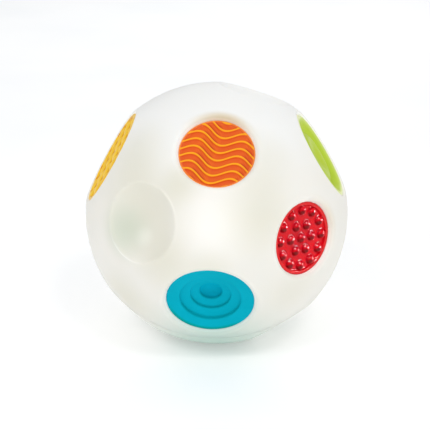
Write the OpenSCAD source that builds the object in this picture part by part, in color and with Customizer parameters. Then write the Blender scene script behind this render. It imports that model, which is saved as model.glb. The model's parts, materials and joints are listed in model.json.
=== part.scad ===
// Hollow light and sound ball with textured discs, finger dishes and a battery core.
// The ball stands on a flat ring at z = 0 and its centre lies on the Z axis.
// A place on the ball is [azimuth, elevation] in degrees: azimuth 0 faces -Y and grows toward +X.

/* [Ball] */
// Outside diameter of the ball
ball_d = 140; // [136:1:146]
// Wall of the two shell halves
wall = 2.2; // [1.8:0.1:2.6]
// Radius that rounds the shell's lip around a disc
disc_lip = 2.6; // [2.3:0.1:2.8]
// The same radius around the green and the yellow disc
side_lip = 1.6; // [1.4:0.1:1.9]
// Radius that rounds the shell's edge around every dish
dish_lip = 2.2; // [1.8:0.1:2.4]
// Height of the tongue that joins the two halves
tongue_h = 2; // [1.5:0.1:2.4]
// Thickness of that tongue
tongue_t = 0.9; // [0.7:0.1:1]
// Gap between the tongue and its groove
tongue_gap = 0.05; // [0.02:0.01:0.1]

/* [Places] */
// Pole of the seam between the two halves: azimuth in degrees
seam_az = -0.7; // [-1.1:0.1:-0.3]
// Pole of the seam between the two halves: elevation in degrees
seam_el = 45.7; // [45.3:0.1:46.1]
// Distance from the ball's centre to the plane of the seam
seam_shift = 2.5; // [2.3:0.1:2.7]
// Orange wave disc: azimuth in degrees
orange_az = 0; // [-0.8:0.1:0.8]
// Orange wave disc: elevation in degrees
orange_el = 46; // [45.2:0.1:46.8]
// Blue ring disc: azimuth in degrees
blue_az = -3.2; // [-4:0.1:-2.4]
// Blue ring disc: elevation in degrees
blue_el = -23.2; // [-23.8:0.1:-22.6]
// Red bump disc: azimuth in degrees
red_az = 40.8; // [40:0.1:41.6]
// Red bump disc: elevation in degrees
red_el = 3.7; // [2.9:0.1:4.5]
// Green ripple disc: azimuth in degrees
green_az = 84.3; // [83.5:0.1:85.1]
// Green ripple disc: elevation in degrees
green_el = 32.2; // [31.6:0.1:32.8]
// Yellow pillow disc: azimuth in degrees
yellow_az = -86.6; // [-87.2:0.1:-86]
// Yellow pillow disc: elevation in degrees
yellow_el = 30.5; // [29.9:0.1:31.1]
// White dish at the front left: azimuth in degrees
left_dish_az = -33.8; // [-34.6:0.1:-33]
// White dish at the front left: elevation in degrees
left_dish_el = 12.5; // [11.7:0.1:13.3]
// White dish near the top: azimuth in degrees
top_dish_az = 111.6; // [110.8:0.1:112.4]
// White dish near the top: elevation in degrees
top_dish_el = 71.6; // [70.8:0.1:72.4]
// White dish at the lower right: azimuth in degrees
low_dish_az = 55.7; // [54.9:0.1:56.5]
// White dish at the lower right: elevation in degrees
low_dish_el = -52.6; // [-53.2:0.1:-52]
// White dish at the lower left: azimuth in degrees
under_dish_az = -71.1; // [-71.9:0.1:-70.3]
// White dish at the lower left: elevation in degrees
under_dish_el = -46.2; // [-46.8:0.1:-45.6]
// White dish at the rear left: azimuth in degrees
rear_left_az = -123.5; // [-124.3:0.1:-122.7]
// White dish at the rear left: elevation in degrees
rear_left_el = 1.2; // [0.6:0.1:1.8]
// White dish at the back: azimuth in degrees
rear_az = 171.9; // [171.1:0.1:172.7]
// White dish at the back: elevation in degrees
rear_el = 23.2; // [22.4:0.1:24]
// White dish at the rear right: azimuth in degrees
rear_right_az = 112.6; // [111.8:0.1:113.4]
// White dish at the rear right: elevation in degrees
rear_right_el = -8.5; // [-9.3:0.1:-7.7]
// Speaker grille: azimuth in degrees
speaker_az = 180; // [179.2:0.1:180.8]
// Speaker grille: elevation in degrees
speaker_el = -44.4; // [-45.2:0.1:-43.6]

/* [Discs] */
// Radius of the orange wave disc
orange_r = 18.4; // [17:0.1:20]
// Radius of the blue ring disc
blue_r = 21.6; // [20.5:0.1:22.5]
// Radius of the red bump disc
red_r = 18.25; // [17.5:0.05:20]
// Radius of the green ripple disc
green_r = 24; // [22.5:0.1:24.5]
// Radius of the yellow pillow disc
yellow_r = 25.4; // [24:0.1:26]
// Thickness of a disc
disc_t = 3.8; // [3.5:0.1:4.1]
// Thickness of the green disc, which is deeper
deep_disc_t = 5.4; // [5.2:0.1:5.6]
// Depth of a disc's face under the circle of its edge on the ball
disc_sink = 2.9; // [2.6:0.1:3.1]
// The same depth for the green and the yellow disc
side_sink = 1.2; // [1:0.1:1.5]
// Gap around a disc in its pocket
disc_gap = 0.15; // [0.1:0.05:0.25]
// Radius that rounds a disc's edge
disc_round = 0.6; // [0.4:0.1:0.8]
// Radius of the stem that holds a disc
stem_r = 2.5; // [2:0.1:3]
// Length of stem that passes the pocket's floor
stem_end = 3; // [2:0.1:4]

/* [Wave disc] */
// Length of one wave
wave_len = 21.9; // [18:0.1:26]
// Height of a wave from crest to axis
wave_amp = 2.6; // [2:0.05:3]
// Distance from one ridge to the next
wave_pitch = 4.27; // [3.8:0.01:4.6]
// Slope of the wave's axis, in degrees, downward to the right
wave_slope = 15.9; // [0:0.1:30]
// Place of a wave's crest along its axis
wave_crest = -10.9; // [-13:0.1:-8]
// Height of the first ridge's axis above the disc's centre
wave_start = -1.05; // [-2:0.05:2]
// Width of a ridge at its foot
ridge_w = 2.2; // [1.8:0.1:2.6]
// Width of a ridge at its top
ridge_top = 0.9; // [0.6:0.1:1.2]
// Height of a ridge
ridge_h = 1; // [0.8:0.1:1.4]

/* [Ring disc] */
// Radius of the first step down
step_a_r = 16.35; // [15:0.05:17.5]
// Depth under the first step
step_a_z = 2.7; // [2.2:0.1:3]
// Radius of the second step down
step_b_r = 10.7; // [10:0.1:11.5]
// Depth under the second step
step_b_z = 4.9; // [4.4:0.1:5.4]
// Radius of the finger pit
pit_r = 5.6; // [5:0.1:6.5]
// Depth at which the finger pit starts
pit_z = 6.2; // [5.8:0.1:6.6]
// Fall of each terrace toward the middle
terrace_fall = 0.7; // [0.4:0.1:0.9]
// Radius that rounds each step's edge
step_round = 0.5; // [0.3:0.1:0.6]
// Wall of the funnel behind the pocket
funnel_wall = 1.7; // [1.4:0.1:2]

/* [Bump disc] */
// Radius of a bump
bump_r = 2.4; // [2:0.1:2.6]
// Radius of the inner ring of bumps
bump_ring_a = 7.05; // [6:0.05:8]
// Radius of the outer ring of bumps
bump_ring_b = 14.05; // [13:0.05:14.4]
// Depth of the field that the bumps stand on
bump_floor = 1.2; // [0.9:0.1:1.5]
// Width of the flat rim round that field
bump_rim = 1.5; // [1.2:0.1:1.8]

/* [Ripple disc] */
// Width from the disc's edge to the top of its rim
ripple_rim = 1.5; // [1.2:0.1:2]
// Depth of the moat inside the rim
moat_z = 3.6; // [3:0.1:4]
// Radius of the moat's bottom
moat_r = 17.6; // [16.5:0.1:18.5]
// Depth of the middle ring's top
crest_z = 1.3; // [1:0.1:1.8]
// Radius of the middle ring's top
crest_r = 10.8; // [10:0.1:12]
// Depth of the middle
centre_z = 3.2; // [2.6:0.1:3.8]

/* [Pillow disc] */
// Distance from one pillow to the next
pillow_pitch = 10.4; // [9.5:0.1:11]
// Radius of the ball shape that crowns a pillow
pillow_ball = 13; // [12:0.5:16]
// Depth of the field between the pillows
pillow_floor = 1.3; // [1:0.1:1.5]
// Width of the rim round the pillows
pillow_rim = 1.6; // [1.3:0.1:2]

/* [Dishes] */
// Radius of a white dish
dish_r = 19.6; // [18:0.1:19.8]
// Radius of the smaller white dish at the lower right
small_dish_r = 18.1; // [17:0.1:18.3]
// Depth of a dish under its own edge circle
dish_z = 5; // [4:0.1:5.5]

/* [Speaker] */
// Radius of a hole in the grille
hole_r = 0.8; // [0.6:0.05:1]
// Distance from one hole to the next
hole_pitch = 2.9; // [2.6:0.1:3.2]
// Rings of holes around the middle hole
hole_rings = 3; // [2:1:3]
// Radius of the speaker's flange
speaker_r = 14; // [13:0.5:14.5]
// Thickness of the speaker's flange
flange_t = 1; // [0.8:0.1:1.4]
// Depth from the flange to the magnet
basket_h = 3.8; // [3.4:0.1:4.4]
// Radius of the magnet
magnet_r = 7.5; // [6.5:0.1:8]
// Height of the magnet
magnet_h = 4; // [3:0.1:5]
// Gap between the speaker's flange and the bosses of its retainer
retainer_gap = 0.3; // [0.2:0.1:0.5]
// Thickness of the retainer
retainer_t = 1.4; // [1.2:0.1:1.8]

/* [Base] */
// Radius of the flat ring that the ball stands on
base_r = 23.9; // [23.4:0.1:24.2]
// Width of that ring
land_w = 2.6; // [2.2:0.1:2.8]
// Height of the recess inside the ring
recess_z = 1.4; // [1.2:0.1:1.8]
// Thickness of the floor above the recess
floor_t = 3.4; // [3.2:0.1:4]

/* [Battery core] */
// Diameter of a cell
cell_d = 10.5; // [10.3:0.1:10.5]
// Length of a cell, button and all
cell_l = 44.5; // [43:0.1:45]
// Gap around each cell
cell_gap = 0.2; // [0.1:0.05:0.3]
// Wall of the battery tube
tube_wall = 1.6; // [1.4:0.1:1.8]
// Place of the tube's axis along X
tube_x = -2; // [-2.2:0.1:-1.8]
// Place of the tube's axis along Y
tube_y = 4; // [3.8:0.1:4.2]
// Thickness of the plate on top of the tube
plate_t = 2; // [1.6:0.1:2.6]
// Radius of that plate
plate_r = 19.5; // [19:0.1:21]
// Radius of the circle of the tube's feet
foot_ring = 18; // [17.6:0.1:18.4]
// Height of the bosses under those feet, from the floor
foot_h = 7.6; // [6:0.1:9]
// Thickness of a foot
foot_t = 2.4; // [2:0.1:3]

/* [Battery door] */
// Width of the ledge that the door covers
door_ledge = 2.6; // [2.4:0.1:2.8]
// Thickness of the door's plate
door_t = 1.6; // [1.4:0.1:1.8]
// How far the door stands out of the recess's roof
door_proud = 0.4; // [0.2:0.1:0.6]
// Gap around the door
door_gap = 0.25; // [0.2:0.05:0.35]
// Radius of the door's ear
ear_r = 4; // [3.8:0.1:4.2]
// Distance from the tube's axis to the door's screw
ear_out = 17.6; // [17.2:0.1:17.8]
// Thickness of the seal
seal_t = 0.5; // [0.4:0.1:0.7]
// Gap between faces of the door and the shell
face_gap = 0.06; // [0.04:0.01:0.1]

/* [Switch] */
// Distance from the ball's axis forward to the switch
switch_out = 15; // [14.8:0.1:15.4]
// Travel of the knob
switch_travel = 4; // [3:0.5:4]
// Length of the knob along its travel
knob_l = 4.6; // [4:0.1:5]
// Width of the knob
knob_w = 3.4; // [3:0.1:3.6]
// How far the knob stops short of the surface that the ball stands on
knob_clear = 0.5; // [0.3:0.1:0.8]

/* [Light] */
// Radius of the circuit board
board_r = 15.8; // [15:0.1:15.8]
// Thickness of the circuit board
board_t = 1.6; // [1:0.1:2]
// Height of the board above the plate
board_h = 3; // [2.4:0.1:4]
// Outside radius of the light dome
dome_r = 18; // [17.9:0.1:18.2]
// Wall of the light dome
dome_wall = 1.2; // [1:0.1:1.3]
// Height of the dome's straight part
dome_skirt = 6.2; // [5:0.1:8]
// Side of a lamp
lamp_w = 5; // [4:0.1:5.5]
// Radius of the circle of the lamps
lamp_ring = 8.6; // [8.4:0.1:9]
// Radius of the motion sensor's can
can_r = 2.8; // [2.6:0.1:3]
// Height of that can
can_h = 8; // [7:0.1:9]
// Radius of the ball inside the can
rattle_r = 1.95; // [1.7:0.05:2]

/* [Fasteners] */
// Radius of the posts that join the two halves
post_r = 4.7; // [4.5:0.1:5]
// Distance from the shell's inner side to the axes of those posts
post_inset = 8.2; // [7.8:0.1:9]
// Depth from the seam down to the seat of a shell screw
seat_z = 8; // [7:0.1:9]
// Radius of a shell screw's shank
screw_r = 1.5; // [1.3:0.1:1.6]
// Radius of a small screw's shank
small_screw_r = 1.1; // [0.9:0.1:1.2]
// Gap around a screw's shank where it passes through
screw_gap = 0.2; // [0.15:0.05:0.25]
// Gap around a shank where it bites, modelled without its thread
bite_gap = 0.04; // [0.02:0.01:0.06]

/* [Hidden] */
$fn = 96;

orange_at = [orange_az, orange_el];
blue_at = [blue_az, blue_el];
red_at = [red_az, red_el];
green_at = [green_az, green_el];
yellow_at = [yellow_az, yellow_el];
left_dish_at = [left_dish_az, left_dish_el];
top_dish_at = [top_dish_az, top_dish_el];
low_dish_at = [low_dish_az, low_dish_el];
under_dish_at = [under_dish_az, under_dish_el];
rear_left_at = [rear_left_az, rear_left_el];
rear_at = [rear_az, rear_el];
rear_right_at = [rear_right_az, rear_right_el];
speaker_at = [speaker_az, speaker_el];

// Overrun of a cut past the face that it opens
over = 1;
R = ball_d / 2;
cavity_r = R - wall;
centre_h = sqrt(R * R - base_r * base_r);
post_ring = cavity_r - post_inset;
pocket_z = disc_sink + disc_t;
// Steps in the arc that rounds a rim, and the share of a step by which a cut starts outside
rim_steps = 7;
lead_share = 0.35;

// Distance from the ball's centre to the plane of a circle of radius r on its surface
function chord(r) = sqrt(R * R - r * r);
function polar(r, a) = [r * cos(a), r * sin(a)];
function arc_points(centre, r, a0, a1, n) = [for (i = [0:n]) centre + polar(r, a0 + (a1 - a0) * i / n)];
// World place of the point p that is given in the frame of a place whose circle has radius r
function place_point(at, r, p) =
    let (e = 90 - at[1], y = p[1] * cos(e) - (p[2] + chord(r)) * sin(e),
        z = p[1] * sin(e) + (p[2] + chord(r)) * cos(e))
    [p[0] * cos(at[0]) - y * sin(at[0]), p[0] * sin(at[0]) + y * cos(at[0]), z + centre_h];

// Puts its children at a place: their z = 0 is the plane of the circle of radius r, +z points out
module at_place(at, r) {
    translate([0, 0, centre_h]) rotate([90 - at[1], 0, at[0]]) translate([0, 0, chord(r)]) children();
}

// Puts its children in the frame of a disc, whose face lies at z = 0 and the given depth under its circle
module at_disc(at, r, sink) {
    at_place(at, r) translate([0, 0, -sink]) children();
}

// Puts its children in the frame of the seam, whose plane is z = 0 and whose front half is above
module at_seam() {
    translate([0, 0, centre_h]) rotate([90 - seam_el, 0, seam_az]) translate([0, 0, -seam_shift])
        children();
}

// Rims, pockets and dishes

// Arc of radius q from the ball's surface round to the angle a1, its first point led outside the ball
function led_arc(centre, q, c, a1) =
    let (a0 = atan2(centre[1] + c, centre[0]), p = arc_points(centre, q, a0, a1, rim_steps))
    concat([p[0] + (p[0] - p[1]) * lead_share], [for (i = [1:rim_steps]) p[i]]);

// Cut for a disc of radius r, from its rounded lip down a straight wall
module pocket_cut(r, depth, lip) {
    c = chord(r);
    top = R - c + over;
    x = r + disc_gap + lip;
    arc = led_arc([x, sqrt(pow(R - lip, 2) - x * x) - c], lip, c, 180);
    rotate_extrude()
        polygon(concat([[0, top], [arc[0][0], top]], arc, [[r + disc_gap, -depth], [0, -depth]]));
}

function dish_ball(r) = (r * r + dish_z * dish_z) / (2 * dish_z);
function dish_up(r) = dish_ball(r) - dish_z;

// Cut for a finger dish of radius r, its rim rounded into the dish
module dish_cut(r) {
    c = chord(r);
    top = R - c + over;
    far = c + dish_up(r);
    z = (far * far + pow(R - dish_lip, 2) - pow(dish_ball(r) + dish_lip, 2)) / (2 * far);
    x = sqrt(pow(R - dish_lip, 2) - z * z);
    arc = led_arc([x, z - c], dish_lip, c, atan2(dish_up(r) - z + c, -x));
    last = arc[rim_steps] + (arc[rim_steps] - arc[rim_steps - 1]) * lead_share;
    translate([0, 0, dish_up(r)]) sphere(dish_ball(r));
    rotate_extrude()
        polygon(concat([[last[0], top], [arc[0][0], top]], [for (i = [0:rim_steps - 1]) arc[i]], [last]));
}

// The inner side of a dish's wall
module dish_fill(r) {
    translate([0, 0, dish_up(r)]) sphere(dish_ball(r) + wall);
}

// The walls and the floor of a pocket, inside the shell
module pocket_fill(r, depth) {
    translate([0, 0, -depth - wall]) cylinder(r = r + disc_gap + wall, h = depth + wall + R - chord(r));
}

// Hole in a pocket's floor for the stem of its disc
module stem_hole(depth) {
    translate([0, 0, -depth - wall - over]) cylinder(r = stem_r + bite_gap, h = wall + 2 * over);
}

// Place and radius of each disc that has a stem, and depth and lip of its pocket
front_discs = [[orange_at, orange_r, pocket_z, disc_lip], [red_at, red_r, pocket_z, disc_lip],
    [yellow_at, yellow_r, side_sink + disc_t, side_lip],
    [green_at, green_r, side_sink + deep_disc_t, side_lip]];
front_dishes = [[left_dish_at, dish_r], [top_dish_at, dish_r]];
rear_dishes = [[low_dish_at, small_dish_r], [under_dish_at, dish_r], [rear_left_at, dish_r],
    [rear_at, dish_r], [rear_right_at, dish_r], [speaker_at, dish_r]];

// Joints between the two halves

post_turns = [50, 118, 193, 336];
rib_w = 1.8;
rib_h = 24;
front_bite = 11;
screw_grip = 9;
// A screw's head, cross and well as shares of the radius of its shank
head_r_share = 1.9;
head_h_share = 1.1;
cross_share = 0.4;
well_share = 2.3;
head_r = head_r_share * screw_r;
well_r = well_share * screw_r;

module at_posts() {
    at_seam() for (a = post_turns) rotate([0, 0, a]) translate([post_ring, 0, 0]) children();
}

// A post on the seam with the rib that ties it to the wall, on one side
module post(side) {
    mirror([0, 0, side]) {
        cylinder(r = post_r, h = R);
        translate([0, -rib_w / 2, 0]) cube([R, rib_w, rib_h]);
    }
}

module half_space(side) {
    at_seam() mirror([0, 0, side]) translate([-ball_d, -ball_d, 0]) cube([2 * ball_d, 2 * ball_d, ball_d]);
}

tongue_r = R - (wall - tongue_t) / 2 - tongue_t / 4;

// Half of the hollow ball that carries the four flush discs, the funnel disc and two dishes
module front_shell() {
    color("whitesmoke") difference() {
        intersection() {
            translate([0, 0, centre_h]) sphere(R);
            half_space(0);
        }
        difference() {
            translate([0, 0, centre_h]) sphere(cavity_r);
            for (d = front_discs) at_place(d[0], d[1]) pocket_fill(d[1], d[2]);
            at_place(blue_at, blue_r) pocket_fill(blue_r, pocket_z);
            for (d = front_dishes) at_place(d[0], d[1]) dish_fill(d[1]);
            at_posts() post(0);
        }
        for (d = front_discs) at_place(d[0], d[1]) {
            pocket_cut(d[1], d[2], d[3]);
            stem_hole(d[2]);
        }
        at_place(blue_at, blue_r) {
            pocket_cut(blue_r, pocket_z, disc_lip);
            translate([0, 0, -pocket_z - wall - over]) cylinder(r = cup_r + disc_gap, h = wall + 2 * over);
        }
        for (d = front_dishes) at_place(d[0], d[1]) dish_cut(d[1]);
        at_posts() translate([0, 0, -over]) cylinder(r = screw_r + bite_gap, h = over + front_bite);
        at_seam() translate([0, 0, -over]) difference() {
            cylinder(r = tongue_r + tongue_gap, h = over + tongue_h + tongue_gap);
            translate([0, 0, -over]) cylinder(r = cavity_r - wall, h = tongue_h + 3 * over);
        }
    }
}

// Base, battery door opening and switch opening

floor_z = recess_z + floor_t;
door_z = recess_z - door_proud;
ledge_z = door_z + door_t + seal_t + face_gap;
cell_ring = (cell_d + cell_gap) / sqrt(3);
tube_r = cell_ring + cell_d / 2 + cell_gap;
mouth_r = tube_r + cell_gap;
plug_r = mouth_r - door_gap;
door_r = mouth_r + door_ledge;
tube_at = [tube_x, tube_y];
boss_wall = 2.1;
boss_r = small_screw_r + boss_wall;
rail_wall = 1.1;
door_boss_h = 9;
door_boss_roof = 1;
foot_turns = [90, 210, 330];
switch_ear = 9.5;
rail_h = 1.6;
slot_l = knob_l + switch_travel + 2 * door_gap;
slot_w = knob_w + 2 * door_gap;

// Outline of the door with its ear, grown by g
module door_outline(g) {
    circle(r = door_r + g);
    translate([0, -ear_r - g]) square([ear_out, 2 * (ear_r + g)]);
    translate([ear_out, 0]) circle(r = ear_r + g);
}

module at_tube(z) {
    translate([tube_at[0], tube_at[1], z]) children();
}

module at_feet(z) {
    at_tube(z) for (a = foot_turns) rotate([0, 0, a]) translate([foot_ring, 0, 0]) children();
}

module at_switch(z) {
    translate([0, -switch_out, z]) children();
}

module base_cut() {
    translate([0, 0, -R]) cylinder(r = R, h = R);
    translate([0, 0, -over]) cylinder(r = base_r - land_w, h = over + recess_z);
    at_tube(recess_z - over) linear_extrude(over + ledge_z - recess_z) door_outline(door_gap);
    at_tube(0) cylinder(r = mouth_r, h = floor_z + over);
    at_tube(0) translate([ear_out, 0, 0])
        cylinder(r = screw_r + bite_gap, h = floor_z + door_boss_h - door_boss_roof);
    at_switch(0) translate([-slot_l / 2, -slot_w / 2, 0]) cube([slot_l, slot_w, floor_z + over]);
    at_feet(floor_z) cylinder(r = small_screw_r + bite_gap, h = foot_h + over);
    at_switch(floor_z - over) for (s = [-1, 1]) translate([s * switch_ear, 0, 0])
        cylinder(r = small_screw_r + bite_gap, h = rail_h + 2 * over);
}

module base_fill() {
    translate([0, 0, -over]) cylinder(r = R, h = floor_z + over);
    at_tube(0) translate([ear_out, 0, 0]) cylinder(r = boss_r, h = floor_z + door_boss_h);
    at_feet(0) cylinder(r = boss_r, h = floor_z + foot_h);
    at_switch(0) for (s = [-1, 1]) translate([s * switch_ear, 0, 0])
        cylinder(r = small_screw_r + rail_wall, h = floor_z + rail_h);
}

// Speaker seat

// Depth of the speaker behind its dish, as a share of the wall
seat_share = 1.2;
speaker_z = dish_z + seat_share * wall;
collar_t = 2;
retainer_turns = [90, 210, 330];
retainer_ring = speaker_r + boss_r + retainer_gap;
retainer_bite = 4.2;

// Places of a hexagonal field of holes or pillows with n rings around the middle one
function hex_field(pitch, n) = [for (i = [-n:n], j = [-n:n]) if (abs(i + j) <= n)
    [pitch * (i + j / 2), pitch * j * sqrt(3) / 2]];

module at_retainer(z) {
    at_place(speaker_at, dish_r) for (a = retainer_turns) rotate([0, 0, a])
        translate([retainer_ring, 0, z]) children();
}

module speaker_fill() {
    at_place(speaker_at, dish_r) translate([0, 0, -speaker_z]) difference() {
        cylinder(r = speaker_r, h = speaker_z);
        translate([0, 0, -over]) cylinder(r = speaker_r - collar_t, h = speaker_z + 2 * over);
    }
    at_retainer(-speaker_z - flange_t) cylinder(r = boss_r, h = speaker_z);
}

module grille_holes() {
    at_place(speaker_at, dish_r) for (p = hex_field(hole_pitch, hole_rings))
        translate([p[0], p[1], -speaker_z - over]) cylinder(r = hole_r, h = speaker_z + over);
    at_retainer(-speaker_z - flange_t - over)
        cylinder(r = small_screw_r + bite_gap, h = over + retainer_bite);
}

// Half of the hollow ball that carries the base, the speaker grille and five dishes
module rear_shell() {
    color("whitesmoke") union() {
        difference() {
            intersection() {
                translate([0, 0, centre_h]) sphere(R);
                half_space(1);
            }
            difference() {
                translate([0, 0, centre_h]) sphere(cavity_r);
                for (d = rear_dishes) at_place(d[0], d[1]) dish_fill(d[1]);
                at_posts() post(1);
                base_fill();
                speaker_fill();
            }
            for (d = rear_dishes) at_place(d[0], d[1]) dish_cut(d[1]);
            at_posts() {
                translate([0, 0, -R]) cylinder(r = well_r, h = R - seat_z);
                translate([0, 0, -seat_z - over]) cylinder(r = screw_r + screw_gap, h = seat_z + 2 * over);
            }
            base_cut();
            grille_holes();
        }
        at_seam() translate([0, 0, -over]) difference() {
            cylinder(r = tongue_r, h = over + tongue_h);
            translate([0, 0, -over]) cylinder(r = tongue_r - tongue_t, h = tongue_h + 3 * over);
        }
    }
}

// Discs

// Body of a disc with a rounded edge, from its face at z = 0 down, with its stem
module disc_body(r, t) {
    rotate_extrude() polygon(concat([[0, -t], [r, -t]],
        arc_points([r - disc_round, -disc_round], disc_round, 0, 90, 5), [[0, 0]]));
    translate([0, 0, -t - wall - stem_end]) cylinder(r = stem_r, h = wall + stem_end + over);
}

function wave(x) = wave_amp * cos(360 * (x - wave_crest) / wave_len);
wave_steps = 36;

// Band of width w that follows one wave across the disc
module wave_band(w) {
    x = [for (i = [0:wave_steps]) orange_r * (2 * i / wave_steps - 1)];
    polygon(concat([for (v = x) [v, wave(v) + w / 2]],
        [for (i = [wave_steps:-1:0]) [x[i], wave(x[i]) - w / 2]]));
}

// Disc with wavy ridges that run across it, each in two steps
module orange_wave_disc() {
    rows = ceil((orange_r + wave_amp) / wave_pitch);
    color("darkorange") at_disc(orange_at, orange_r, disc_sink) {
        difference() {
            disc_body(orange_r, disc_t);
            translate([0, 0, -ridge_h]) cylinder(r = orange_r - disc_round, h = ridge_h + over);
        }
        intersection() {
            translate([0, 0, -ridge_h - over]) cylinder(r = orange_r - disc_round / 2, h = ridge_h + over);
            for (i = [-rows:rows]) rotate([0, 0, -wave_slope])
                translate([0, wave_start + i * wave_pitch, -ridge_h - over]) {
                    linear_extrude(over + ridge_h / 2) wave_band(ridge_w);
                    linear_extrude(over + ridge_h) wave_band(ridge_top);
                }
        }
    }
}

cup_r = step_b_r + funnel_wall;
cup_tail = 2;
cup_z = disc_t + wall + cup_tail;
pit_bottom = pit_z + pit_r;

// Disc that steps down in terraces to a round finger pit
module blue_ring_disc() {
    inner = concat(
        arc_points([step_a_r + step_round, -terrace_fall - step_round], step_round, 90, 180, 3),
        [[step_a_r, -step_a_z]],
        arc_points([step_b_r + step_round, -step_a_z - terrace_fall - step_round], step_round, 90, 180, 3),
        [[step_b_r, -step_b_z]],
        arc_points([pit_r + step_round, -step_b_z - terrace_fall - step_round], step_round, 90, 180, 3),
        arc_points([0, -pit_z], pit_r, 0, -90, 9));
    outer = concat([[0, -pit_bottom - funnel_wall]],
        arc_points([0, -pit_z], pit_r + funnel_wall, -75, 0, 7),
        [[cup_r, -cup_z], [cup_r, -disc_t], [blue_r, -disc_t]],
        arc_points([blue_r - disc_round, -disc_round], disc_round, 0, 90, 5));
    color("deepskyblue") at_disc(blue_at, blue_r, disc_sink) rotate_extrude() polygon(concat(outer, inner));
}

bump_spin = -4.7;

// Disc with a middle bump, six bumps round it and twelve round those
module red_bump_disc() {
    color("crimson") at_disc(red_at, red_r, disc_sink) {
        difference() {
            disc_body(red_r, disc_t);
            translate([0, 0, -bump_floor]) cylinder(r = red_r - bump_rim, h = bump_floor + over);
        }
        for (ring = [[0, 1], [bump_ring_a, 6], [bump_ring_b, 12]], i = [0:ring[1] - 1])
            rotate([0, 0, bump_spin + i * 360 / ring[1]]) translate([ring[0], 0, -bump_floor])
                sphere(bump_r, $fn = 32);
    }
}

// Eases from a to b as t goes from 0 to 1
function ease(a, b, t) = a + (b - a) * (1 - cos(180 * t)) / 2;
ripple_steps = 9;

// Disc with a rounded rim, a moat, a middle ring and a hollow centre
module green_ripple_disc() {
    stations = [[0, -centre_z], [crest_r, -crest_z], [moat_r, -moat_z], [green_r - ripple_rim, 0]];
    face = [for (s = [0:2], i = [0:ripple_steps - 1])
        let (a = stations[s], b = stations[s + 1], t = i / ripple_steps)
        [a[0] + (b[0] - a[0]) * t, ease(a[1], b[1], t)]];
    rim = arc_points([green_r - ripple_rim, -ripple_rim], ripple_rim, 90, 0, 6);
    color("yellowgreen") at_disc(green_at, green_r, side_sink) {
        rotate_extrude() polygon(concat(face, rim, [[green_r, -deep_disc_t], [0, -deep_disc_t]]));
        translate([0, 0, -deep_disc_t - wall - stem_end]) cylinder(r = stem_r, h = wall + stem_end + over);
    }
}

// Disc of low round pillows packed like honeycomb, with a three-sided hollow between each three
module yellow_pillow_disc() {
    field_r = yellow_r - pillow_rim;
    color("gold") at_disc(yellow_at, yellow_r, side_sink) {
        difference() {
            disc_body(yellow_r, disc_t);
            translate([0, 0, -pillow_floor]) cylinder(r = field_r, h = pillow_floor + over);
        }
        intersection() {
            translate([0, 0, -disc_t + over]) cylinder(r = field_r + disc_gap, h = disc_t);
            for (p = hex_field(pillow_pitch, 2)) translate([p[0], p[1], -pillow_ball]) sphere(pillow_ball);
        }
    }
}

nut_w = 3;
nut_r = stem_r + nut_w;
ring_w = 4.5;
nut_t = 1.2;

// Push-on nuts that grip the stems under the pockets' floors
module disc_push_nuts() {
    color("silver") for (d = front_discs) at_place(d[0], d[1])
        translate([0, 0, -d[2] - wall - nut_t]) difference() {
        cylinder(r = nut_r, h = nut_t);
        translate([0, 0, -over]) cylinder(r = stem_r + bite_gap, h = nut_t + 2 * over);
    }
}

// Ring that grips the funnel of the blue disc under its pocket's floor
module funnel_ring() {
    color("gainsboro") at_disc(blue_at, blue_r, disc_sink)
        translate([0, 0, -disc_t - wall - nut_t]) difference() {
        cylinder(r = cup_r + ring_w, h = nut_t);
        translate([0, 0, -over]) cylinder(r = cup_r + bite_gap, h = nut_t + 2 * over);
    }
}

// Screws

// Screw that points up from its seat at z = 0, head below, with a cross recess
module screw(r, l) {
    difference() {
        union() {
            cylinder(r = r, h = l);
            translate([0, 0, -head_h_share * r]) cylinder(r = head_r_share * r, h = head_h_share * r);
        }
        for (a = [0, 90]) rotate([0, 0, a]) translate([-r, -cross_share * r / 2, -head_h_share * r - over])
            cube([2 * r, cross_share * r, over + r / 2]);
    }
}

module shell_screws() {
    color("silver") at_posts() translate([0, 0, -seat_z]) screw(screw_r, seat_z + screw_grip);
}

// Battery core

spring_h = 1.8;
contact_t = 0.5;
plate_z = floor_z + spring_h + 2 * face_gap + cell_l + contact_t;
board_z = plate_z + plate_t + board_h;
board_turns = [20, 140, 260];
board_post_ring = 13;
board_post_r = 2.2;
wire_r = 0.6;
wire_apart = 1.44;
wire_hole_r = 1.8;
wire_holes = [[11.3, -5.3], [6.2, -10.8]];
lip_h = 1;
bite_share = 0.8;
pin_r = 0.5;

module at_cells(z) {
    at_tube(z) for (a = [0, 120, 240]) rotate([0, 0, a]) translate([cell_ring, 0, 0]) children();
}

module at_board_posts(z) {
    for (a = board_turns) rotate([0, 0, a]) translate([board_post_ring, 0, z]) children();
}

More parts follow.
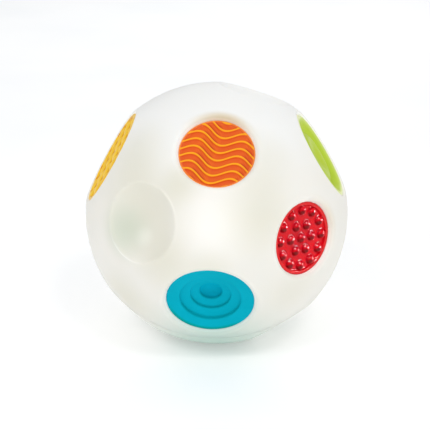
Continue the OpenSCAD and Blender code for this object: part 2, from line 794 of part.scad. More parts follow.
// Tube for three upright cells, with three feet and a plate on top that carries the light
module battery_housing() {
    foot_z = floor_z + foot_h;
    color("white") difference() {
        union() {
            at_tube(floor_z) cylinder(r = tube_r + tube_wall, h = plate_z - floor_z + over);
            translate([0, 0, plate_z]) cylinder(r = plate_r, h = plate_t);
            translate([0, 0, plate_z + lip_h]) cylinder(r = dome_r - dome_wall - disc_gap, h = plate_t);
            at_board_posts(plate_z + over) cylinder(r = board_post_r, h = plate_t + board_h - over);
            at_feet(foot_z) {
                cylinder(r = boss_r, h = foot_t);
                translate([-foot_ring + tube_r + tube_wall / 2, -boss_r, 0])
                    cube([foot_ring - tube_r - tube_wall / 2, 2 * boss_r, foot_t]);
            }
        }
        at_tube(floor_z - over) cylinder(r = tube_r, h = plate_z - floor_z + over);
        difference() {
            translate([0, 0, plate_z + plate_t])
                cylinder(r = dome_r - dome_wall - disc_gap - tube_wall / 2, h = 2 * lip_h);
            at_board_posts(plate_z) cylinder(r = board_post_r, h = board_h + plate_t);
        }
        at_feet(foot_z - over) cylinder(r = small_screw_r + screw_gap, h = foot_t + 2 * over);
        at_board_posts(plate_z + plate_t) cylinder(r = small_screw_r + bite_gap, h = board_h + over);
        for (p = wire_holes) translate([p[0], p[1], plate_z - over])
            cylinder(r = wire_hole_r, h = plate_t + 2 * over);
        at_cells(plate_z - over) cylinder(r = pin_r + bite_gap, h = plate_t + 2 * over);
    }
}

module housing_screws() {
    color("silver") at_feet(floor_z + foot_h + foot_t) rotate([180, 0, 0])
        screw(small_screw_r, foot_t + bite_share * foot_h);
}

button_r = 1.9;
button_h = 0.9;

// Three cells, the second one upside down
module battery_cells() {
    z = floor_z + spring_h + face_gap;
    color("dimgray") at_tube(z) for (i = [0:2]) rotate([0, 0, 120 * i]) translate([cell_ring, 0, 0])
        translate([0, 0, i == 1 ? cell_l : 0]) mirror([0, 0, i == 1 ? 1 : 0]) {
            cylinder(r = cell_d / 2, h = cell_l - button_h);
            cylinder(r = button_r, h = cell_l);
        }
}

// Contact plates over the cells, each with a pin up to the board
module top_contacts() {
    color("silver") at_cells(plate_z - contact_t) {
        cylinder(r = cell_d / 3, h = contact_t);
        cylinder(r = pin_r, h = board_z - plate_z + contact_t);
    }
}

module circuit_board() {
    color("seagreen") difference() {
        translate([0, 0, board_z]) cylinder(r = board_r, h = board_t);
        at_board_posts(board_z - over) cylinder(r = small_screw_r + screw_gap, h = board_t + 2 * over);
    }
}

module board_screws() {
    color("silver") at_board_posts(board_z + board_t) rotate([180, 0, 0])
        screw(small_screw_r, board_t + bite_share * board_h);
}

lamp_h = 1.4;
lamp_turns = [-60, 60, 180];
lens_h = 1;
lens_foot_share = 0.4;
lens_top_share = 0.3;

// Three lamps in a ring, each with its lens
module lamps() {
    color("ivory") for (a = lamp_turns) rotate([0, 0, a]) translate([lamp_ring, 0, board_z + board_t]) {
        translate([-lamp_w / 2, -lamp_w / 2, 0]) cube([lamp_w, lamp_w, lamp_h]);
        cylinder(r1 = lens_foot_share * lamp_w, r2 = lens_top_share * lamp_w, h = lamp_h + lens_h);
    }
}

chip_w = 7;
chip_h = 1.5;

module control_chip() {
    color("dimgray") translate([-chip_w / 2, -chip_w / 2, board_z + board_t])
        cube([chip_w, chip_w, chip_h]);
}

// Translucent dome over the board that spreads the light
module light_dome() {
    z = plate_z + plate_t;
    color("white") translate([0, 0, z]) rotate_extrude() difference() {
        union() {
            square([plate_r, dome_wall]);
            square([dome_r, dome_skirt]);
            translate([0, dome_skirt]) intersection() {
                circle(r = dome_r);
                square(dome_r);
            }
        }
        translate([0, -over]) square([dome_r - dome_wall, dome_skirt + over]);
        translate([0, dome_skirt]) intersection() {
            circle(r = dome_r - dome_wall);
            square(dome_r);
        }
    }
}

can_floor = 0.8;
can_ring = 9;
can_turn = 115;
can_at = polar(can_ring, can_turn);

module at_can() {
    translate([can_at[0], can_at[1], board_z + board_t]) children();
}

// Can of the motion sensor, closed at both ends, with the room for its ball
module sensor_can() {
    color("silver") at_can() difference() {
        cylinder(r = can_r, h = can_h);
        translate([0, 0, can_floor]) cylinder(r = rattle_r + face_gap, h = can_h - 2 * can_floor);
    }
}

module sensor_ball() {
    color("gold") at_can() translate([0, 0, can_floor + face_gap + rattle_r]) sphere(rattle_r);
}

// Speaker, drawn in the frame of its place with its flange's front at z = 0

module at_speaker(z) {
    at_place(speaker_at, dish_r) translate([0, 0, z - speaker_z]) children();
}

basket_wall = 0.8;
terminal_l = 2.5;
terminal_out = 3.7;
terminal_x = magnet_r - basket_wall;
cone_t = 0.4;
mouth_edge = speaker_r - collar_t;

module speaker_frame() {
    color("dimgray") at_speaker(0) {
        rotate_extrude() polygon([[speaker_r, 0], [speaker_r, -flange_t], [mouth_edge, -flange_t],
            [magnet_r + basket_wall, -basket_h], [0, -basket_h], [0, -basket_h + basket_wall],
            [magnet_r, -basket_h + basket_wall], [mouth_edge - basket_wall, -flange_t + basket_wall / 4],
            [mouth_edge - basket_wall, 0]]);
        translate([-terminal_x - terminal_out, -terminal_l, -basket_h - terminal_l])
            cube([terminal_out, 2 * terminal_l, terminal_l + basket_wall]);
    }
}

// Thin cone with a cap, seated in the flange's mouth
module speaker_cone() {
    r = mouth_edge - basket_wall - bite_gap;
    z = -basket_h + 2 * basket_wall;
    color("black") at_speaker(0) rotate_extrude() polygon([[r, -flange_t / 4], [r, -flange_t / 4 - cone_t],
        [magnet_r / 2, z], [0, z], [0, z + 2 * cone_t], [magnet_r / 3, z + cone_t]]);
}

module speaker_magnet() {
    notch = terminal_l + face_gap;
    color("silver") at_speaker(-basket_h - magnet_h) difference() {
        cylinder(r = magnet_r, h = magnet_h);
        translate([-magnet_r - over, -notch, magnet_h - notch])
            cube([magnet_r + over - terminal_x + face_gap, 2 * notch, notch + over]);
    }
}

// Ring with three ears that clamps the speaker's flange on its collar
module speaker_retainer() {
    color("white") at_speaker(-flange_t - retainer_t) difference() {
        union() {
            cylinder(r = speaker_r, h = retainer_t);
            for (a = retainer_turns) rotate([0, 0, a]) {
                translate([0, -boss_r, 0]) cube([retainer_ring, 2 * boss_r, retainer_t]);
                translate([retainer_ring, 0, 0]) cylinder(r = boss_r, h = retainer_t);
            }
        }
        translate([0, 0, -over]) cylinder(r = mouth_edge + disc_gap, h = retainer_t + 2 * over);
        for (a = retainer_turns) rotate([0, 0, a]) translate([retainer_ring, 0, -over])
            cylinder(r = small_screw_r + screw_gap, h = retainer_t + 2 * over);
    }
}

module retainer_screws() {
    color("silver") at_retainer(-speaker_z - flange_t - retainer_t)
        screw(small_screw_r, retainer_t + bite_share * retainer_bite);
}

// Wires

// Point at t between p[i] and p[i + 1] on a smooth curve through all the points
function curve(p, i, t) =
    let (n = len(p) - 1, a = p[max(i - 1, 0)], b = p[i], c = p[min(i + 1, n)], d = p[min(i + 2, n)])
    (2 * b + t * (c - a) + t * t * (2 * a - 5 * b + 4 * c - d) + t * t * t * (3 * b - 3 * c + d - a)) / 2;
function smooth(p, n) =
    concat([for (i = [0:len(p) - 2], k = [0:n - 1]) curve(p, i, k / n)], [p[len(p) - 1]]);
wire_sides = 8;

// Tube of radius r along the points p, which never run along X
module tube(p, r) {
    n = len(p);
    rings = [for (i = [0:n - 1])
        let (t = p[min(i + 1, n - 1)] - p[max(i - 1, 0)], a = cross(t, [1, 0, 0]), b = cross(t, a),
            u = a / norm(a), v = b / norm(b))
        [for (k = [0:wire_sides - 1]) let (a = 360 * k / wire_sides) p[i] + r * (cos(a) * u + sin(a) * v)]];
    points = [for (ring = rings, q = ring) q];
    sides = [for (i = [0:n - 2], k = [0:wire_sides - 1])
        let (a = i * wire_sides, b = (k + 1) % wire_sides)
        each [[a + k, a + b, a + b + wire_sides], [a + k, a + b + wire_sides, a + k + wire_sides]]];
    ends = [[for (k = [wire_sides - 1:-1:0]) k], [for (k = [0:wire_sides - 1]) (n - 1) * wire_sides + k]];
    polyhedron(points, concat(sides, ends));
}

// Pair of wires side by side along X
module wire_pair(route) {
    for (s = [-1, 1]) tube(smooth([for (p = route) p + [s * wire_apart / 2, 0, 0]], 5), wire_r);
}

// Points that the speaker's wires pass, from their hole in the plate
speaker_route = [[0, 0, -4], [3, 8, -9], [3, 18, -14], [0, 27, -19]];

// Wires from the board down to the speaker's terminals
module speaker_wires() {
    end = place_point(speaker_at, dish_r, [-magnet_r - wire_apart / 2 - wire_r - face_gap, 0,
        -speaker_z - basket_h - terminal_l - wire_r - face_gap]);
    top = [wire_holes[0][0], wire_holes[0][1], plate_z];
    color("red") wire_pair(concat([top + [0, 0, board_z - plate_z - face_gap]],
        [for (p = speaker_route) top + p], [end]));
}

switch_h = 4.2;
switch_w = 6.4;
switch_l = 12;
switch_ear_t = 1;
switch_bite = 0.5;
wire_rise = 4;

// Slide switch with two ears, seated on two bosses over its opening
module switch_body() {
    color("silver") at_switch(floor_z + rail_h) difference() {
        union() {
            translate([-switch_l / 2, -switch_w / 2, 0]) cube([switch_l, switch_w, switch_h]);
            translate([-switch_ear - small_screw_r - rail_wall, -switch_w / 3, 0])
                cube([2 * (switch_ear + small_screw_r + rail_wall), 2 * switch_w / 3, switch_ear_t]);
        }
        for (s = [-1, 1]) translate([s * switch_ear, 0, -over])
            cylinder(r = small_screw_r + screw_gap, h = 2 * over + switch_ear_t);
    }
}

module switch_screws() {
    color("silver") at_switch(floor_z + rail_h + switch_ear_t) for (s = [-1, 1])
        translate([s * switch_ear, 0, 0]) rotate([180, 0, 0])
        screw(small_screw_r, switch_ear_t + rail_h + switch_bite);
}

module switch_wires() {
    top = [wire_holes[1][0], wire_holes[1][1], plate_z];
    foot = [0, -switch_out, floor_z + rail_h + switch_h + face_gap];
    color("black") wire_pair([foot, foot + [0, 0, wire_rise], foot + [top[0] / 2, 0, 3 * wire_rise],
        top - [0, wire_rise / 2, 3 * wire_rise], top - [0, 0, wire_rise],
        top + [0, 0, board_z - plate_z - face_gap]]);
}

grip_h = 0.5;
knob_edge = 1;

// Knob of the power switch, at the right-hand end of its travel, with three grip ridges
module power_knob() {
    top = floor_z + face_gap;
    color("dimgray") at_switch(0) translate([switch_travel / 2, 0, 0]) {
        translate([-knob_l / 2, -knob_w / 2, knob_clear + grip_h]) cube([knob_l, knob_w, top - knob_clear]);
        for (i = [-1:1]) translate([i * knob_l / 3 - knob_l / 12, -knob_w / 2, knob_clear])
            cube([knob_l / 6, knob_w, 2 * grip_h]);
        translate([-knob_l, -knob_w / 2 - knob_edge, top])
            cube([2 * knob_l, knob_w + 2 * knob_edge, rail_h - 3 * face_gap]);
    }
}

// Battery door

// Door with its plug, its ear and the seat of its captive screw
module battery_door() {
    color("whitesmoke") difference() {
        union() {
            at_tube(door_z) linear_extrude(door_t) door_outline(0);
            at_tube(door_z + over / 2) cylinder(r = plug_r, h = floor_z - door_z - over / 2);
        }
        at_tube(door_z - over) translate([ear_out, 0, 0]) {
            cylinder(r = screw_r + face_gap, h = door_t + 2 * over);
            cylinder(r = head_r + face_gap, h = over + head_inset);
        }
        at_tube(door_z - over) for (i = [-2:2]) translate([-grip_out, i * grip_pitch - grip_w / 2, 0])
            cube([grip_l, grip_w, over + grip_w / 2]);
    }
}

head_inset = 0.9;
head_sink = 0.1;
grip_pitch = 2.4;
grip_w = 1;
grip_l = 4.4;
grip_out = 8;

// Flat seal round the door's plug
module door_seal() {
    color("dimgray") at_tube(door_z + door_t) difference() {
        cylinder(r = door_r - door_gap, h = seal_t);
        translate([0, 0, -over]) cylinder(r = plug_r + bite_gap, h = seal_t + 2 * over);
    }
}

spring_r = 3.7;
spring_top_r = 2.3;

// Three cone springs on the door's plug, one under each cell
module door_springs() {
    color("silver") at_cells(floor_z) cylinder(r1 = spring_r, r2 = spring_top_r, h = spring_h);
}

door_screw_l = 10.4;

// Captive screw in the door's ear
module door_screw() {
    color("silver") at_tube(door_z + head_inset) translate([ear_out, 0, 0]) difference() {
        union() {
            translate([0, 0, -head_inset / 2]) cylinder(r = screw_r, h = door_screw_l + head_inset / 2);
            translate([0, 0, -head_inset + head_sink])
                cylinder(r = head_r, h = head_inset - head_sink - face_gap);
        }
        for (a = [0, 90]) rotate([0, 0, a])
            translate([-screw_r, -cross_share * screw_r / 2, -head_inset - over])
            cube([2 * screw_r, cross_share * screw_r, over + head_inset / 2]);
    }
}

front_shell();
rear_shell();
orange_wave_disc();
blue_ring_disc();
red_bump_disc();
green_ripple_disc();
yellow_pillow_disc();
disc_push_nuts();
funnel_ring();
shell_screws();
battery_housing();
housing_screws();
battery_cells();
top_contacts();
circuit_board();
board_screws();
lamps();
control_chip();
light_dome();
sensor_can();
sensor_ball();
speaker_frame();
speaker_cone();
speaker_magnet();
speaker_retainer();
retainer_screws();
speaker_wires();
switch_body();
switch_screws();
switch_wires();
power_knob();
battery_door();
door_seal();
door_springs();
door_screw();
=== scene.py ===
"""Light and sound sensory ball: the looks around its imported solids.

A place on the ball is [azimuth, elevation] in degrees, azimuth 0 facing -Y and growing toward +X.
The frame of a place has x to its right, y up the ball and z out, with z = 0 in the plane of its edge circle.
"""

import json
import math

import bmesh
import bpy
import numpy as np
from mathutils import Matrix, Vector


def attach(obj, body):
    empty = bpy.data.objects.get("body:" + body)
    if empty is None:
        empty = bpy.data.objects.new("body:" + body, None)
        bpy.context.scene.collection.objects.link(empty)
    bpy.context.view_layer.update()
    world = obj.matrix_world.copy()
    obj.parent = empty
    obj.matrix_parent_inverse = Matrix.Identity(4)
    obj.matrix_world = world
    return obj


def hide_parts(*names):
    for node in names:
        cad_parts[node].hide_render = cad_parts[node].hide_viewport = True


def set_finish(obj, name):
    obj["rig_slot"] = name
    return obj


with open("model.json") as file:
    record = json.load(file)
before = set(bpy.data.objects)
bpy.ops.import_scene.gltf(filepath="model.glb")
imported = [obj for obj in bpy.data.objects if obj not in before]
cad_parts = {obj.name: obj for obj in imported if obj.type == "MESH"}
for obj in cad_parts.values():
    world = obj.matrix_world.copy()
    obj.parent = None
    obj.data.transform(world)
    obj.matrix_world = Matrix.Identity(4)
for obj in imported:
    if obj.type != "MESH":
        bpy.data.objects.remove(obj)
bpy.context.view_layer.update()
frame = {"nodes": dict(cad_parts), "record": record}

MM = 0.001
BALL_R = 70 * MM
BASE_R = 23.9 * MM
CENTRE = np.array([0, 0, math.sqrt(BALL_R**2 - BASE_R**2)])

# Place, edge radius, thickness, depth of its face under its edge circle, and lip of the pocket, for each disc
ORANGE = dict(at=(0, 46), r=18.4 * MM, t=3.8 * MM, sink=2.9 * MM, lip=2.6 * MM)
BLUE = dict(at=(-3.2, -23.2), r=21.6 * MM, t=3.8 * MM, sink=2.9 * MM, lip=2.6 * MM)
RED = dict(at=(40.8, 3.7), r=18.25 * MM, t=3.8 * MM, sink=2.9 * MM, lip=2.6 * MM)
GREEN = dict(at=(84.3, 32.2), r=24 * MM, t=5.4 * MM, sink=1.2 * MM, lip=1.6 * MM)
YELLOW = dict(at=(-86.6, 30.5), r=25.4 * MM, t=3.8 * MM, sink=1.2 * MM, lip=1.6 * MM)
DISCS = (ORANGE, BLUE, RED, GREEN, YELLOW)
# Gap between a solid disc and its pocket, and how much of it the disc as looked at fills
DISC_GAP, GROWN = 0.15 * MM, 0.14 * MM
# Radius that rounds a disc's back edge
BACK_ROUND = 0.3 * MM
# Points round a disc with fine relief, with low relief and with none
SIDES_FINE, SIDES_LOW, SIDES_PLAIN = 480, 360, 240

# Edge radius, depth and lip radius of a dish
DISH_R, DISH_DEPTH, DISH_LIP = 19.6 * MM, 5 * MM, 2.2 * MM
# Place and edge radius of each dish
DISHES = {
    "left": ((-33.8, 12.5), DISH_R),
    "top": ((111.6, 71.6), DISH_R),
    "low": ((55.7, -52.6), 18.1 * MM),
    "under": ((-71.1, -46.2), DISH_R),
    "rear_left": ((-123.5, 1.2), DISH_R),
    "rear": ((171.9, 23.2), DISH_R),
    "rear_right": ((112.6, -8.5), DISH_R),
    "speaker": ((180, -44.4), DISH_R),
}


# Places on the ball


def axes_of(at):
    """Right, up and out directions at a place, as rows."""
    az, el = np.radians(at)
    return np.array(
        [
            [np.cos(az), np.sin(az), 0],
            [-np.sin(el) * np.sin(az), np.sin(el) * np.cos(az), np.cos(el)],
            [np.cos(el) * np.sin(az), -np.cos(el) * np.cos(az), np.sin(el)],
        ]
    )


def put(points, at, r, sink=0.0):
    """Points given in the frame of a place, or that depth under it, moved to the ball."""
    axes = axes_of(at)
    lifted = np.asarray(points, float) + [0, 0, math.sqrt(BALL_R**2 - r**2) - sink]
    return lifted @ axes + CENTRE


def smoothstep(a, b, x):
    """Cubic that rises from 0 at a to 1 at b."""
    t = np.clip((x - a) / (b - a), 0, 1)
    return t * t * (3 - 2 * t)


def nearest(x, y, places):
    """Distance from each point to the nearest of some places in the plane."""
    return np.min(np.hypot(x[..., None] - places[:, 0], y[..., None] - places[:, 1]), -1)


# Meshes


def new_piece(name, points, faces, body, slot, node, marks):
    """Makes a smooth-shaded object at the origin from world points and its faces, with marks for its material."""
    mesh = bpy.data.meshes.new(name)
    mesh.from_pydata(points.tolist(), [], faces)
    mesh.update()
    mesh.polygons.foreach_set("use_smooth", [True] * len(mesh.polygons))
    for key, values in marks.items():
        layer = mesh.attributes.new(key, "FLOAT", "POINT")
        layer.data.foreach_set("value", np.asarray(values, np.float32))
    piece = bpy.data.objects.new(name, mesh)
    bpy.context.scene.collection.objects.link(piece)
    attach(piece, body)
    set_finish(piece, slot)
    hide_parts(node)
    return piece


def rings_to_solid(rings, top, bottom):
    """Points and faces of a closed form made of rings of points, from its top pole to its bottom pole."""
    count, around = rings.shape[:2]
    points = np.concatenate([rings.reshape(-1, 3), [top, bottom]])
    i, j = np.meshgrid(np.arange(count - 1), np.arange(around), indexing="ij")
    k = (j + 1) % around
    quads = np.stack([i * around + j, (i + 1) * around + j, (i + 1) * around + k, i * around + k], -1)
    j = np.arange(around)
    k = (j + 1) % around
    last = (count - 1) * around
    top_fan = np.stack([np.full(around, last + around), j, k], -1)
    bottom_fan = np.stack([np.full(around, last + around + 1), last + k, last + j], -1)
    return points, quads.reshape(-1, 4).tolist() + top_fan.tolist() + bottom_fan.tolist()


# Half the angle of a corner that counts as straight, and stretches of a rounded corner's arc
STRAIGHT, ARC_STEPS = math.radians(89.5), 6


def rounded(corners, radii):
    """Polyline whose corners are rounded: each corner gives way to an arc tangent to both its sides.

    The arc starts radius / tan(half the corner's angle) from the corner, on either side."""
    pts = [np.asarray(corners[0], float)]
    for p, q, s, r in zip(corners[:-2], corners[1:-1], corners[2:], radii):
        p, q, s = (np.asarray(v, float) for v in (p, q, s))
        a, b = (p - q) / np.linalg.norm(p - q), (s - q) / np.linalg.norm(s - q)
        half = math.acos(np.clip(a @ b, -1, 1)) / 2
        if r <= 0 or half > STRAIGHT:
            pts.append(q)
            continue
        back = r / math.tan(half)
        middle = q + (a + b) / np.linalg.norm(a + b) * r / math.sin(half)
        u, v = q + a * back - middle, q + b * back - middle
        turn = math.pi - 2 * half
        for t in np.linspace(0, 1, ARC_STEPS + 1):
            pts.append(middle + (math.sin((1 - t) * turn) * u + math.sin(t * turn) * v) / math.sin(turn))
    pts.append(np.asarray(corners[-1], float))
    return np.array(pts)


def subdivided(profile, longest):
    """The same polyline with its long stretches cut into shorter ones."""
    out = [profile[0]]
    for p, q in zip(profile[:-1], profile[1:]):
        n = max(1, int(np.ceil(np.linalg.norm(q - p) / longest)))
        out += [p + (q - p) * i / n for i in range(1, n + 1)]
    return np.array(out)


def plain_profile(disc, edge, step, face_side):
    """Face, rounded edge, side and back of a flat disc as points (radius, z), a step apart at most.

    Deeper down than face_side, only one point in eight is kept."""
    wide, t = disc["r"] + GROWN, disc["t"]
    corners = rounded([[0, 0], [wide, 0], [wide, -t], [0, -t]], [edge, BACK_ROUND])
    profile = subdivided(corners, step)[1:-1]
    deeper = profile[:, 1] < -face_side
    return profile[~deeper | (np.arange(len(profile)) % 8 == 0)]


def on_face(rho, r, inner, outer):
    """1 on a disc's face up to inner from its edge, 0 from outer on, so that the edge, side and back stay plain."""
    return 1 - smoothstep(r - inner, r - outer, rho)


def disc_piece(name, disc, profile, height, slot, node, marks, around):
    """Closed disc: the profile (radius, z) turned round the place's axis, with height(x, y) added to its face.

    A ring of radius rho lies at x = rho cos a, y = rho sin a, z = profile z + height(x, y)."""
    angle = np.arange(around) * 2 * np.pi / around
    rho, z = profile[:, 0, None], profile[:, 1, None]
    x, y = rho * np.cos(angle), rho * np.sin(angle)
    rings = np.stack([x, y, z + height(x, y, rho)], -1)
    middle = np.zeros(1)
    top = [0, 0, profile[0, 1] + float(height(middle, middle, middle)[0])]
    bottom = [0, 0, profile[-1, 1]]
    points, faces = rings_to_solid(rings, top, bottom)
    values = {k: f(points[:, 0], points[:, 1], points[:, 2]) for k, f in marks.items()}
    return new_piece(name, put(points, disc["at"], disc["r"], disc["sink"]), faces, "ball", slot, node, values)


def no_height(x, y, rho):
    """Height of a disc whose relief is all in its profile."""
    return 0 * x


# Orange disc: wavy ridges

# Length and height of the waves, and the distance from one ridge line to the next
WAVE_LEN, WAVE_AMP, WAVE_PITCH = 21.9 * MM, 2.6 * MM, 4.27 * MM
# Angle by which the waves' axis falls to the right, a crest's place along it and a ridge line's place across it
WAVE_SLOPE = math.radians(15.9)
WAVE_CREST, WAVE_START = -10.9 * MM, -1.05 * MM
# Height of a ridge, and distances from its line where its top ends and where its foot meets the valley
RIDGE_H, RIDGE_TOP, RIDGE_FOOT = 1 * MM, 0.3 * MM, 1 * MM
# Width of the thin lip round the face
THIN_LIP = 0.6 * MM


def wave_place(x, y):
    """Distance along the waves' axis, and signed distance from the nearest ridge line, above it positive."""
    u = x * math.cos(WAVE_SLOPE) - y * math.sin(WAVE_SLOPE)
    v = x * math.sin(WAVE_SLOPE) + y * math.cos(WAVE_SLOPE)
    v = v - WAVE_START - WAVE_AMP * np.cos(2 * np.pi * (u - WAVE_CREST) / WAVE_LEN)
    return u, v - WAVE_PITCH * np.round(v / WAVE_PITCH)


def ridge(x, y):
    """1 on a ridge's top, 0 in the valley, smooth on its flanks."""
    return 1 - smoothstep(RIDGE_TOP, RIDGE_FOOT, np.abs(wave_place(x, y)[1]))


def orange_height(x, y, rho):
    """Valley depth, less the ridges and the thin lip at the edge."""
    r = ORANGE["r"]
    lip = smoothstep(r - 1.6 * THIN_LIP, r - THIN_LIP, np.hypot(x, y))
    return -RIDGE_H * (1 - np.maximum(ridge(x, y), lip)) * on_face(rho, r, 0.4 * THIN_LIP, 0.3 * THIN_LIP)


def orange_disc():
    """Flat disc with the waves let in; its marks are ridge, place across and along the waves, fall and radius."""
    r = ORANGE["r"]
    profile = plain_profile(ORANGE, 0.12 * MM, 0.16 * MM, 0.6 * MM)
    marks = {
        "ridge": lambda x, y, z: ridge(x, y) * (np.hypot(x, y) < r - 0.4 * THIN_LIP),
        "above": lambda x, y, z: wave_place(x, y)[1] / WAVE_PITCH,
        "along": lambda x, y, z: wave_place(x, y)[0],
        "fall": lambda x, y, z: np.sin(2 * np.pi * (wave_place(x, y)[0] - WAVE_CREST) / WAVE_LEN),
        "out": lambda x, y, z: np.hypot(x, y) / r,
    }
    return disc_piece(
        "orange_waves", ORANGE, profile, orange_height, "orange_disc", "orange_wave_disc", marks, SIDES_FINE
    )


# Blue disc: terraces down to a finger pit

# Radius of the outer and the inner step, each with the height of the terrace inside it, and a terrace's fall
STEP_A_R, STEP_A_Z, STEP_B_R, STEP_B_Z = 15.2 * MM, -2.8 * MM, 10.1 * MM, -5.2 * MM
TERRACE_FALL = 1.3 * MM
# Radius of the pit, where its rounded bottom starts, and how much deeper that goes
PIT_R, PIT_Z, PIT_FALL = 5.6 * MM, -7 * MM, 4 * MM
# Radius of the funnel behind the pit, as a share of the disc's, and its lower end
FUNNEL_SHARE, FUNNEL_Z = 0.6, -13.5 * MM
# Rounding at the pit's edge, at the foot and the top of a step, and at the disc's edge
PIT_TOP, STEP_FOOT, STEP_TOP, BLUE_EDGE = 0.7 * MM, 0.5 * MM, 0.55 * MM, 0.15 * MM


def blue_disc():
    """Two steps and a pit whose bottom is half an ellipse; each terrace falls toward the middle."""
    r, t = BLUE["r"], BLUE["t"]
    turn = np.radians(np.linspace(-90, 0, 13))[:-1]
    pit = np.stack([PIT_R * np.cos(turn), PIT_Z + PIT_FALL * np.sin(turn)], -1).tolist()
    corners = pit + [
        [PIT_R, STEP_B_Z - TERRACE_FALL],
        [STEP_B_R, STEP_B_Z],
        [STEP_B_R, STEP_A_Z - TERRACE_FALL],
        [STEP_A_R, STEP_A_Z],
        [STEP_A_R, -TERRACE_FALL],
        [r + GROWN, 0],
        [r + GROWN, -t],
        [FUNNEL_SHARE * r, -t],
        [FUNNEL_SHARE * r, FUNNEL_Z],
        [0, FUNNEL_Z],
    ]
    radii = [0] * (len(pit) - 1)
    radii += [PIT_TOP, STEP_FOOT, STEP_TOP, STEP_FOOT, STEP_TOP, BLUE_EDGE, BACK_ROUND, 0, 0]
    profile = subdivided(rounded(corners, radii), 0.4 * MM)[1:-1]

    def wall(x, y, z):
        """Mask for painted shade: 1 on the steep walls between the terraces, and down the pit, most on their lower
        sides.
        """
        rho = np.hypot(x, y)
        away = smoothstep(-0.1, 0.7, -y / np.maximum(rho, MM))
        steps = [1 - smoothstep(0.1 * MM, 0.7 * MM, np.abs(rho - step)) for step in (PIT_R, STEP_B_R, STEP_A_R)]
        steps.append(0.9 * (1 - smoothstep(0.4 * MM, 4 * MM, PIT_R - rho)) * (rho < PIT_R))
        return np.max(steps, 0) * (0.15 + 0.85 * away)

    def brim_shade(x, y, z):
        """Mask for painted shade: 1 along the lower edge."""
        rho = np.hypot(x, y)
        lower = smoothstep(0.3, 0.9, -(y + 0.3 * x) / np.maximum(rho, MM))
        return smoothstep(r - 2.2 * MM, r - 0.4 * MM, rho) * lower

    # Marks for painted shade on the walls and along the lower edge, and for painted light down in the pit
    marks = {"wall": wall, "brim_shade": brim_shade, "pit_light": lambda x, y, z: smoothstep(-6.6 * MM, -9 * MM, z)}
    return disc_piece("blue_terraces", BLUE, profile, no_height, "blue_disc", "blue_ring_disc", marks, SIDES_PLAIN)


# Green disc: rim, moat, middle ring and hollow

# Radius of the rounded rim
GREEN_RIM = 1.5 * MM
# Radius and height of the hollow's middle, the middle ring's top and the moat's bottom
GREEN_STATIONS = [(0, -3.2 * MM), (10.8 * MM, -1.3 * MM), (17.6 * MM, -3.6 * MM)]


def green_disc():
    """Each stretch between two stations is half a cosine wave; the rim is a quarter circle."""
    r, t = GREEN["r"], GREEN["t"]
    stations = GREEN_STATIONS + [(r - GREEN_RIM, 0)]
    face = []
    for (a, za), (b, zb) in zip(stations[:-1], stations[1:]):
        s = np.linspace(0, 1, 25)[:-1]
        face += list(np.stack([a + (b - a) * s, za + (zb - za) * (1 - np.cos(np.pi * s)) / 2], -1))
    turn = np.radians(np.linspace(90, 0, 9))
    rim = [r - GREEN_RIM + (GREEN_RIM + GROWN) * np.cos(turn), -GREEN_RIM + GREEN_RIM * np.sin(turn)]
    face += list(np.stack(rim, -1))
    profile = np.array(face + [[r + GROWN, -t], [0.5 * r, -t]])[1:]

    def tip(x, y, z):
        """1 on the rim at the top and the bottom of the disc."""
        return smoothstep(r - 3.8 * MM, r - 2.2 * MM, np.hypot(x, y)) * smoothstep(0.82, 0.95, np.abs(y) / r)

    marks = {"edge": lambda x, y, z: smoothstep(r - 3 * GREEN_RIM, r, np.hypot(x, y)), "tip": tip}
    return disc_piece(
        "green_ripple", GREEN, profile, no_height, "green_disc", "green_ripple_disc", marks, SIDES_PLAIN
    )


# Red disc: nineteen bumps

# Radius of a bump, depth of the field under the rim, the rim's width, and height of a bump's flared foot
BUMP_R, BUMP_FLOOR, BUMP_RIM, BUMP_FOOT = 2.4 * MM, 1.2 * MM, 1.5 * MM, 0.25 * MM
# Angle of the first bump of each ring
BUMP_SPIN = math.radians(-4.7)
# Radius of each ring of bumps and how many it has
BUMP_RINGS = ((0, 1), (7.05 * MM, 6), (14.05 * MM, 12))


def bump_places():
    """Middles of the bumps, evenly spaced on their rings."""
    out = []
    for ring, count in BUMP_RINGS:
        a = BUMP_SPIN + np.arange(count) * 2 * np.pi / count
        out += list(np.stack([ring * np.cos(a), ring * np.sin(a)], -1))
    return np.array(out)


def red_height(x, y, rho):
    """Field below the rim, out of which half balls stand whose feet flare into it."""
    r = RED["r"]
    rim = smoothstep(r - BUMP_RIM - 0.5 * MM, r - BUMP_RIM + 0.1 * MM, np.hypot(x, y))
    near = nearest(x, y, bump_places())
    ball = np.sqrt(np.clip(BUMP_R**2 - near**2, 0, None))
    foot = BUMP_FOOT * (1 - smoothstep(BUMP_R - 0.2 * MM, BUMP_R + 0.5 * MM, near)) ** 2
    return (-BUMP_FLOOR * (1 - rim) + np.maximum(ball, foot)) * on_face(rho, r, 0.3 * MM, 0.2 * MM)


def red_disc():
    """Flat disc with the bumps; its marks are closeness to a bump, a bump's lower left side where shade is painted,
    rim and edge.
    """
    r = RED["r"]
    # Places of the painted shade on each bump's lower left side
    shade_side_places = bump_places() - [0.5 * BUMP_R, 0.25 * BUMP_R]
    marks = {
        "near": lambda x, y, z: nearest(x, y, bump_places()) / BUMP_R,
        "low": lambda x, y, z: 1 - smoothstep(0.2 * BUMP_R, 0.8 * BUMP_R, nearest(x, y, shade_side_places)),
        "rim": lambda x, y, z: smoothstep(r - BUMP_RIM - 0.2 * MM, r - BUMP_RIM + 0.1 * MM, np.hypot(x, y)),
        "edge": lambda x, y, z: smoothstep(r - 0.35 * MM, r - 0.1 * MM, np.hypot(x, y)),
    }
    profile = plain_profile(RED, 0.15 * MM, 0.15 * MM, 0.7 * MM)
    return disc_piece("red_bumps", RED, profile, red_height, "red_disc", "red_bump_disc", marks, SIDES_FINE)


# Yellow disc: pillows packed like honeycomb

